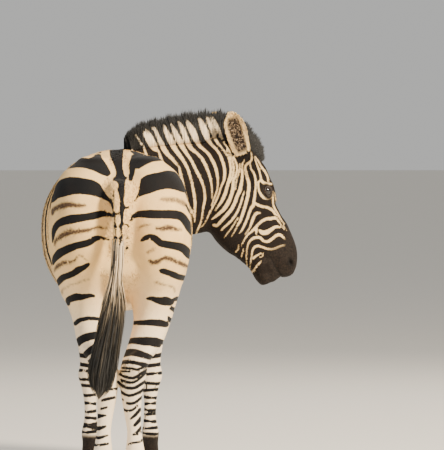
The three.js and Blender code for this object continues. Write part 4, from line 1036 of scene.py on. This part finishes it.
def lid_grid(rings, sides):
    """A ring round the opening, an ellipse drawn on the globe. The section is round, thicker above than below."""
    a, b = np.meshgrid(np.linspace(0, 2 * np.pi, rings, endpoint=False),
                       np.linspace(0, 2 * np.pi, sides, endpoint=False), indexing="ij")
    thick = 3.0 + 1.6 * np.clip(np.sin(a), 0, 1)
    wide, high = 19.0, 12.5 + 1.5 * np.sin(a)
    y, z = wide * np.cos(a) * (1 + .06 * np.cos(a)), high * np.sin(a)
    x = np.sqrt(np.maximum(23.0 ** 2 - (y * .93) ** 2 - z ** 2, 9)) - 1
    middle = np.stack([x, y, z], -1)
    away = unit(np.stack([x * 0, np.cos(a), np.sin(a)], -1))
    return middle + unit(middle) * (thick * np.cos(b) * .8)[..., None] + away * (thick * np.sin(b))[..., None]


i, j = np.meshgrid(np.arange(LID_RINGS), np.arange(LID_SIDES), indexing="ij")
i_next, j_next = (i + 1) % LID_RINGS, (j + 1) % LID_SIDES
ring = np.stack([i * LID_SIDES + j, i * LID_SIDES + j_next, i_next * LID_SIDES + j_next, i_next * LID_SIDES + j], -1)
for side, word in ((1, "left"), (-1, "right")):
    points = eye_points(lid_grid(LID_RINGS, LID_SIDES).reshape(-1, 3), side)
    mesh = mesh_from_arrays(f"eyelids_{word}", points, outward(points, [ring.reshape(-1, 4)]))
    show(f"eyelids_{word}", mesh, lid_material, "striped_coat")

# %% [markdown]
# ## Hooves
# A hoof is a wall of horn that grows down from the coronet in fine rings. It is the solid's own loft on a finer grid,
# with a shallow groove for each ring in the bump and a dull, slightly waxy surface. Cutting the rings into the mesh
# would cost faces that the coat needs more.

# %% Hoof horn: a wave along Z draws the rings, bent by noise
RING_GAP = 5.712  # millimetres from ring to ring; a wave texture of scale 1 has one in 2 pi / 20 metres
horn_material, tree, shader, place = new_material("grown hoof horn", Roughness=.48, Specular_IOR_Level=.45)
growth = node(tree, "TexWave", {"Vector": place, "Scale": 100 * np.pi / RING_GAP, "Distortion": 3.0, "Detail": 2},
              {"bands_direction": "Z"}, "Fac")
worn = node(tree, "TexNoise", {"Vector": place, "Scale": 1000 / 12, "Detail": 2}, out="Fac")
colour = tint("#2a2522")
for share, over in ((growth, "#443c34"), (node(tree, "MapRange", [worn, .4, .7]), "#5b4e40")):
    colour = node(tree, "Mix", {0: share, 6: colour, 7: tint(over)}, *OVER)
tree.links.new(colour, shader.inputs["Base Color"])
tree.links.new(node(tree, "Bump", {"Strength": .4, "Distance": .0008, "Height": growth}), shader.inputs["Normal"])
HOOF_RINGS, HOOF_SIDES, SOLE_EDGE = 26, 56, 2.5  # the sole's edge is worn round over its last 2.5 mm
for word, x, hoof in (("hind_left", 62, HIND_HOOF), ("hind_right", -54, HIND_HOOF),
                      ("fore_left", 117, FORE_HOOF), ("fore_right", -118, FORE_HOOF)):
    grid = loft_grid(loft(hoof_rows(x, *hoof), True), HOOF_RINGS, HOOF_SIDES, 0)
    sole = grid[-1:] * [1, 1, 0]
    centre = sole.mean(1, keepdims=True)
    grid = np.concatenate([grid[:-1], sole + [0, 0, SOLE_EDGE], centre + (sole - centre) * .97])
    points = closed_tube(grid)
    mesh = mesh_from_arrays(f"hoof_horn_{word}", points, outward(points, tube_faces(len(grid), HOOF_SIDES)))
    show(f"hoof_horn_{word}", mesh, horn_material, "hoof_horn", f"hoof_{word}")

# %% [markdown]
# ## Tufts
# Hair that breaks the outline is made as solid tufts. A tuft is a three-sided spike along a bent middle line, which
# stands for some dozens of hairs. Whole arrays of middle lines are turned into one mesh at once, because thousands of
# single objects would be slow to handle, and a hair system would not survive as a plain mesh.


# %% Many tufts in one mesh
def tufts(middles, out, widths, flat=.35):
    """Rings of three corners about each middle line: half the width to each side, and flat times the width outwards.
    The last place is the tip. Gives points, faces and the count of points in a tuft."""
    forward = unit(np.gradient(middles, axis=1))
    across = unit(np.cross(out[:, None], forward))
    n, k = middles.shape[0], middles.shape[1] - 1
    w = widths[:, :k, None] / 2
    m, a, o = middles[:, :k], across[:, :k], np.cross(forward[:, :k], across[:, :k])
    rings = np.stack([m + a * w, m + o * w * 2 * flat, m - a * w], 2).reshape(n, 3 * k, 3)
    points = np.concatenate([rings, middles[:, -1:]], 1).reshape(-1, 3)
    base = (np.arange(n) * (3 * k + 1))[:, None, None]
    quads = np.array([[3 * r + c, 3 * r + (c + 1) % 3, 3 * r + 3 + (c + 1) % 3, 3 * r + 3 + c]
                      for r in range(k - 1) for c in range(3)])
    tips = np.array([[3 * k - 3 + c, 3 * k - 3 + (c + 1) % 3, 3 * k] for c in range(3)] + [[2, 1, 0]])
    return points, [(quads[None] + base).reshape(-1, 4), (tips[None] + base).reshape(-1, 3)], 3 * k + 1


def brush(name, tuft, form, rings, sides, inset):
    """Tufts and the closed loft that fills the space between them in one mesh: mesh, points and rings of the loft."""
    points, faces, _ = tuft
    grid = loft_grid(form, rings, sides, -inset)
    core = closed_tube(grid)
    faces = faces + [f + len(points) for f in outward(core, tube_faces(len(grid), sides))]
    points = np.vstack([points, core])
    return mesh_from_arrays(name, points, faces), points, len(grid)


def patches(mesh, places, corners, core=()):
    """Each tuft is a patch 0.003 across in the unwrap, at its root's place. A loft inside brings its own places."""
    spot = np.random.default_rng(5).uniform(-.0015, .0015, (corners, 2))
    flat = np.vstack([(places[:, None] + spot[None]).reshape(-1, 2), *core])
    loops = np.empty(len(mesh.loops), np.int32)
    mesh.loops.foreach_get("vertex_index", loops)
    mesh.uv_layers.new(name="OFBake").data.foreach_set("uv", flat[loops].astype(np.float32).ravel())


def core_places(rings, sides, low, high, pole):
    """A loft in a narrow strip of the unwrap: u along it, v round it from low to high, and both poles at one place."""
    along, around = np.meshgrid(np.linspace(.02, .98, rings), np.linspace(low, high, sides), indexing="ij")
    return np.stack([along, around], -1).reshape(-1, 2), [pole, pole]


print("faces of one coat tuft", sum(len(f) for f in tufts(np.eye(3)[None], np.ones((1, 3)), np.ones((1, 3)))[1]))

# %% [markdown]
# ## Mane
# A zebra's mane stands up like a brush, and the neck's stripes run through it to its dark tips. So the mane's hair is
# painted with the neck's own strokes. The tufts stand on the crest, lean a little at random and gather in clumps, and
# a low loft between them closes the gaps.

# %% Mane hair: stiff, dry and rough
mane_material, tree, shader, place = new_material("stiff mane hair", Roughness=.7, Specular_IOR_Level=.3,
                                                  Sheen_Weight=.08)
dark_mm, strand = (node(tree, "Attribute", settings={"attribute_name": name}, out="Fac")
                   for name in ("dark_mm", "strand"))
clumps = node(tree, "TexNoise", {"Vector": place, "Scale": 1000 / 4, "Detail": 2}, out="Fac")
edge = node(tree, "Math", [clumps, 8.0, dark_mm], {"operation": "MULTIPLY_ADD"})
dark = node(tree, "MapRange", [edge, 2.4, 5.6])
hair = node(tree, "Mix", {0: dark, 6: tint("#ead4b0"), 7: tint("#0c0a08")}, *OVER)
streak = node(tree, "MapRange", [strand, 0, 1, .7, 1.25])
tree.links.new(node(tree, "Mix", {0: 1.0, 6: hair, 7: streak}, *TIMES), shader.inputs["Base Color"])
print("mane material", len(tree.nodes), "nodes")

# %% Mane
MANE_TUFTS, MANE_RINGS, MANE_SIDES = 8400, 90, 24
dice = np.random.default_rng(11)
t = dice.uniform(.1, 1, MANE_TUFTS)
middle, along, side, up, sizes = section(loft(MANE), t)
across = dice.uniform(-1, 1, MANE_TUFTS)
clump = .95 + .035 * np.sin(t * 190) + .03 * np.sin(t * 83 + 2)
height = sizes[:, 1] * clump * dice.uniform(.7, 1.13, MANE_TUFTS) * (1 - .22 * across ** 2)
share = np.linspace(0, 1, 5)[None, :, None]
root = middle - up * (sizes[:, 2:3] * .6) + side * (sizes[:, 0:1] * .85 * across[:, None])
lean = side * (across * sizes[:, 0] * -.35)[:, None] + along * dice.normal(-3, 5, MANE_TUFTS)[:, None]
lean = lean + side * dice.normal(0, 2.5, MANE_TUFTS)[:, None]
rise = up[:, None] * ((height + sizes[:, 2] * .6)[:, None, None] * share)
widths = dice.uniform(4.6, 7.2, MANE_TUFTS)[:, None] * (1 - .6 * np.linspace(0, 1, 5))
mane = tufts(root[:, None] + rise + lean[:, None] * share ** 2, side * np.sign(across + 1e-6)[:, None], widths)
core_rows = [[*row[:3], row[3], .68 * row[4], *row[5:]] for row in MANE[1:]]
core_rows[0][3] *= .5
mesh, points, rings = brush("mane_hair", mane, loft(core_rows, ends=(10, 8)), MANE_RINGS, MANE_SIDES, 5)
core = core_places(rings, MANE_SIDES, .02, .07, [.5, .02])
strands = np.r_[np.repeat(dice.uniform(0, 1, MANE_TUFTS), mane[2]), np.full(len(points) - len(mane[0]), .4)]
paint(mesh, {"dark_mm": stroke_edge(seen_from_behind(points), NECK_LIGHT) * PIXEL, "strand": strands})
patches(mesh, np.stack([.02 + .96 * t, .5 + .4 * across], 1), mane[2], core)
show("mane_hair", mesh, mane_material, "mane_hair", "mane")

# %% [markdown]
# ## Tail
# A zebra's tail has a thin dock with short hair and a long tuft, pale where it begins and black at its end. Tufts
# that start at different heights run down along the tail's path, and a share of them is dark, which gives the
# streaks. One smooth loft with a striped colour would look like a rope.

# %% Tail hair: long and loose, a little glossy
tail_material, tree, shader, place = new_material("long tail hair", Roughness=.6, Specular_IOR_Level=.35,
                                                  Sheen_Weight=.05)
dark_share, strand = (node(tree, "Attribute", settings={"attribute_name": name}, out="Fac")
                      for name in ("dark_share", "strand"))
hair = node(tree, "Mix", {0: dark_share, 6: tint("#b7a284"), 7: tint("#151411")}, *OVER)
streak = node(tree, "MapRange", [strand, 0, 1, .6, 1.8])
tree.links.new(node(tree, "Mix", {0: 1.0, 6: hair, 7: streak}, *TIMES), shader.inputs["Base Color"])
print("tail material", len(tree.nodes), "nodes")

# %% Tail
TAIL_TUFTS, TAIL_RINGS, TAIL_SIDES, TAIL_STEPS = 4200, 60, 20, 7
TAIL_ROWS = DOCK[4:] + TAIL_HAIR[1:]
start = dice.uniform(.03, .72, TAIL_TUFTS) ** 1.25
reach = np.minimum(start + dice.uniform(.18, .42, TAIL_TUFTS), dice.uniform(.86, .985, TAIL_TUFTS))
angle, inside = dice.uniform(0, 2 * np.pi, TAIL_TUFTS), np.sqrt(dice.uniform(.15, 1, TAIL_TUFTS))
share = np.linspace(0, 1, TAIL_STEPS)
along_t = start[:, None] + (reach - start)[:, None] * share
middle, forward, side, up, sizes = section(loft(TAIL_ROWS), along_t.ravel())
fill = np.tile(.8 + .3 * share, TAIL_TUFTS) * np.repeat(inside * dice.uniform(.85, 1.2, TAIL_TUFTS), TAIL_STEPS)
offset = side * (sizes[:, 0] * np.repeat(np.cos(angle), TAIL_STEPS) * fill)[:, None] \
    + up * (sizes[:, 1] * np.repeat(np.sin(angle), TAIL_STEPS) * fill)[:, None]
middles, offset = ((p.reshape(TAIL_TUFTS, TAIL_STEPS, 3)) for p in (middle + offset, offset))
widths = dice.uniform(3.5, 6, TAIL_TUFTS)[:, None] * (1 - .55 * share)
tail = tufts(middles, unit(offset[:, 0] + 1e-6), widths)
mesh, points, rings = brush("tail_hair_tuft", tail, loft(TAIL_ROWS, ends=(0, 4)), TAIL_RINGS, TAIL_SIDES, 7)
core, core_count = core_places(rings, TAIL_SIDES, .975, .995, [.99, .99]), len(points) - len(tail[0])
chance = np.clip((760 - middles[:, 0, 2]) / 130, 0, 1) * .55 + .43  # a tuft is likelier dark the lower it starts
is_dark = (dice.uniform(0, 1, TAIL_TUFTS) < chance).astype(float)
dark_end = .93 * (1 - step(640, 800, points[:, 2]))
paint(mesh, {"dark_share": np.maximum(np.r_[np.repeat(is_dark, tail[2]), np.full(core_count, .55)], dark_end),
             "strand": np.r_[np.repeat(dice.uniform(0, 1, TAIL_TUFTS), tail[2]), np.full(core_count, .3)]})
patches(mesh, np.stack([.02 + .96 * start, angle / 6.6 + .02], 1), tail[2], core)
show("tail_hair_tuft", mesh, tail_material, "tail_hair", "tail_hair")

# %% [markdown]
# ## The coat
# On most of the body the hair is a few millimetres long and lies flat, so the bump carries it. Thousands of thin
# tufts that overlap along the lie of the hair break the smooth shading and the outline. They are smallest on the face
# and the feet. Growing real hairs would need millions of them.

# %% Where the tufts grow
REGIONS = {  # which lofts, tufts, length and width in millimetres, lift off the skin
    "coat_back": (["trunk"], 19000, 15, 4.4, .10), "coat_flank": (["trunk", "dock"], 19000, 14, 4.2, .10),
    "coat_legs": (["hind_left", "hind_right", "fore_left", "fore_right"], 19500, 8, 2.8, .12),
    "coat_neck": (["neck"], 19000, 10, 3.0, .12), "coat_head": (["skull", "jaw"], 19500, 7.5, 2.2, .12),
    "coat_ears": (["ear_left", "ear_right"], 5200, 11, 2.4, .25)}
FLOW = {"trunk": (-1, -.25), "neck": (-1, -.3), "dock": (1, 0)}  # along the loft's path, and up
a, b, c = (skin_points[triangles[:, k]] for k in range(3))
area = np.linalg.norm(np.cross(b - a, c - a), axis=1) / 2
face_loft = np.array(CHARTS)[face_chart]
on_top = skin_normals[triangles[:, 0], 2] > .25
print("skin area, square metres", round(area.sum() / 1e6, 2))


# %% How the tufts lie
def hair_lie(which, t, normals):
    """The lie of the hair: along the loft or against it, a little downwards, and square to the skin's direction."""
    lie = np.zeros_like(normals)
    for number, name in enumerate(CHARTS):
        mine = np.flatnonzero(which == number)
        if len(mine):
            form, (sense, fall) = SKIN_LOFTS[name], FLOW.get(name, (1, 0))
            forward = section(form, t[mine])[1] @ form["matrix"][:3, :3].T
            lie[mine] = forward * sense + np.array([0, 0, fall])
    return unit(lie - normals * (lie * normals).sum(1, keepdims=True))


def grow(dice, lofts, count, only=True):
    """Roots scattered over the faces of some lofts by their area, each at a random mix of its face's corners: face,
    place, direction out, lie and place in the unwrap."""
    weight = area * np.isin(face_loft, lofts) * only
    picked = dice.choice(len(weight), count, p=weight / weight.sum())
    mix = dice.dirichlet([1, 1, 1], count)
    roots, out = ((values[triangles[picked]] * mix[..., None]).sum(1) for values in (skin_points, skin_normals))
    out = unit(out)
    root_t = (skin_charts[face_chart[picked][:, None], 0, triangles[picked]] * mix).sum(1)
    lie = unit(hair_lie(face_chart[picked], root_t, out) + dice.normal(0, .13, (count, 3)))
    return picked, roots, out, lie, (uv.reshape(-1, 3, 2)[picked] * mix[..., None]).sum(1)


EYE_CLEAR = 27  # no tufts this near the middle of an eye, mm
FOOT_HAIR = (260, .7)  # below this height the tufts are shorter and thinner by this much
print("lofts with a lie of their own", list(FLOW))

# %% Grow the coat
for number, (name, (lofts, count, long, wide, lift)) in enumerate(REGIONS.items()):
    dice = np.random.default_rng(100 + number)
    only = {"coat_back": on_top, "coat_flank": ~on_top}.get(name, True)
    picked, roots, out, lie, places = grow(dice, lofts, count, only)
    low = np.where(roots[:, 2] < FOOT_HAIR[0], FOOT_HAIR[1], 1.0)
    length = (long * dice.uniform(.7, 1.15, count) * low)[:, None, None]
    bend = np.linspace(0, 1, 3)[None, :, None]
    rise = length * lift * (2.2 * bend - 1.2 * bend ** 2)
    middles = (roots - out * 1.0)[:, None] + lie[:, None] * (length * (bend - .5)) + out[:, None] * rise
    widths = (wide * dice.uniform(.7, 1.2, count) * low)[:, None] * (1 - .45 * np.linspace(0, 1, 3))
    from_eye = np.hypot(*(head_place(roots)[:, 1:] - [EYE["down"], EYE["above"]]).T)
    keep = (from_eye > EYE_CLEAR) | ~np.isin(face_loft[picked], ["skull", "jaw"])
    points, faces, corners = tufts(middles[keep], out[keep], widths[keep], .22)
    mesh = mesh_from_arrays(name, points, faces)
    layers = markings(roots[keep], out[keep]) | {"strand": dice.uniform(0, 1, keep.sum())}
    paint(mesh, {key: np.repeat(values, corners) for key, values in layers.items()})
    patches(mesh, places[keep], corners)
    show(name, mesh, coat_material, "striped_coat")

# %% [markdown]
# ## Stage, light and camera
# A pale floor and large soft lights, the strongest high on the viewer's right, show the coat without hard shadows.
# The camera stands far behind the animal with a long lens, a little above its back, so the animal's far parts are
# hardly smaller than its near ones.

# %% Floor and lights
floor_material, tree, shader, place = new_material("pale studio floor", Roughness=.9)
shader.inputs["Base Color"].default_value = tint("#e6e1d8")
floor_mesh = bpy.data.meshes.new("floor")
floor_mesh.from_pydata([(-60, -120, 0), (60, -120, 0), (60, 60, 0), (-60, 60, 0)], [], [(0, 1, 2, 3)])
floor_mesh.materials.append(floor_material)
place_object("floor", floor_mesh)
BODY_MIDDLE = Vector((0.1, 0, .9))


def soft_light(name, place, size, power, colour):
    """An area lamp that looks at the middle of the body."""
    lamp = bpy.data.lights.new(name, "AREA")
    lamp.shape, lamp.size, lamp.energy, lamp.color = "DISK", size, power, tint(colour)[:3]
    made = place_object(name, lamp)
    made.location = place
    made.rotation_euler = (BODY_MIDDLE - Vector(place)).to_track_quat("-Z", "Y").to_euler()


soft_light("key", (-5.0, 5.2, 6.0), 1.8, 2300, "#fff0d8")
soft_light("fill", (6.0, 3.0, 3.0), 4.0, 130, "#dfe8ff")
soft_light("back", (-2.0, -6.0, 5.0), 3.0, 200, "#fff4e4")
world = bpy.data.worlds.new("studio")
world.use_nodes = True
sky = world.node_tree.nodes["Background"].inputs
sky["Color"].default_value, sky["Strength"].default_value = tint("#eeeeec"), .6
bpy.context.scene.world = world
print(len(bpy.data.lights), "lamps")

# %% Camera
SENSOR, FRAME_HEIGHT = 36.0, 450  # millimetres, and the height of the frame in the strokes' units
AIM = Vector((-.02446, -1, -.02302))  # a little to the right and down, so that the animal stands left of the middle
camera_data = bpy.data.cameras.new("camera")
camera_data.sensor_fit, camera_data.sensor_height = "VERTICAL", SENSOR
camera_data.lens = SENSOR * FOCAL / FRAME_HEIGHT
camera_data.clip_end = 400
camera = place_object("camera", camera_data)
camera.location = (VIEWER + SHIFT) / 1000
camera.rotation_euler = AIM.to_track_quat("-Z", "Y").to_euler()
bpy.context.scene.camera = camera
print("lens, mm", round(camera_data.lens, 1))
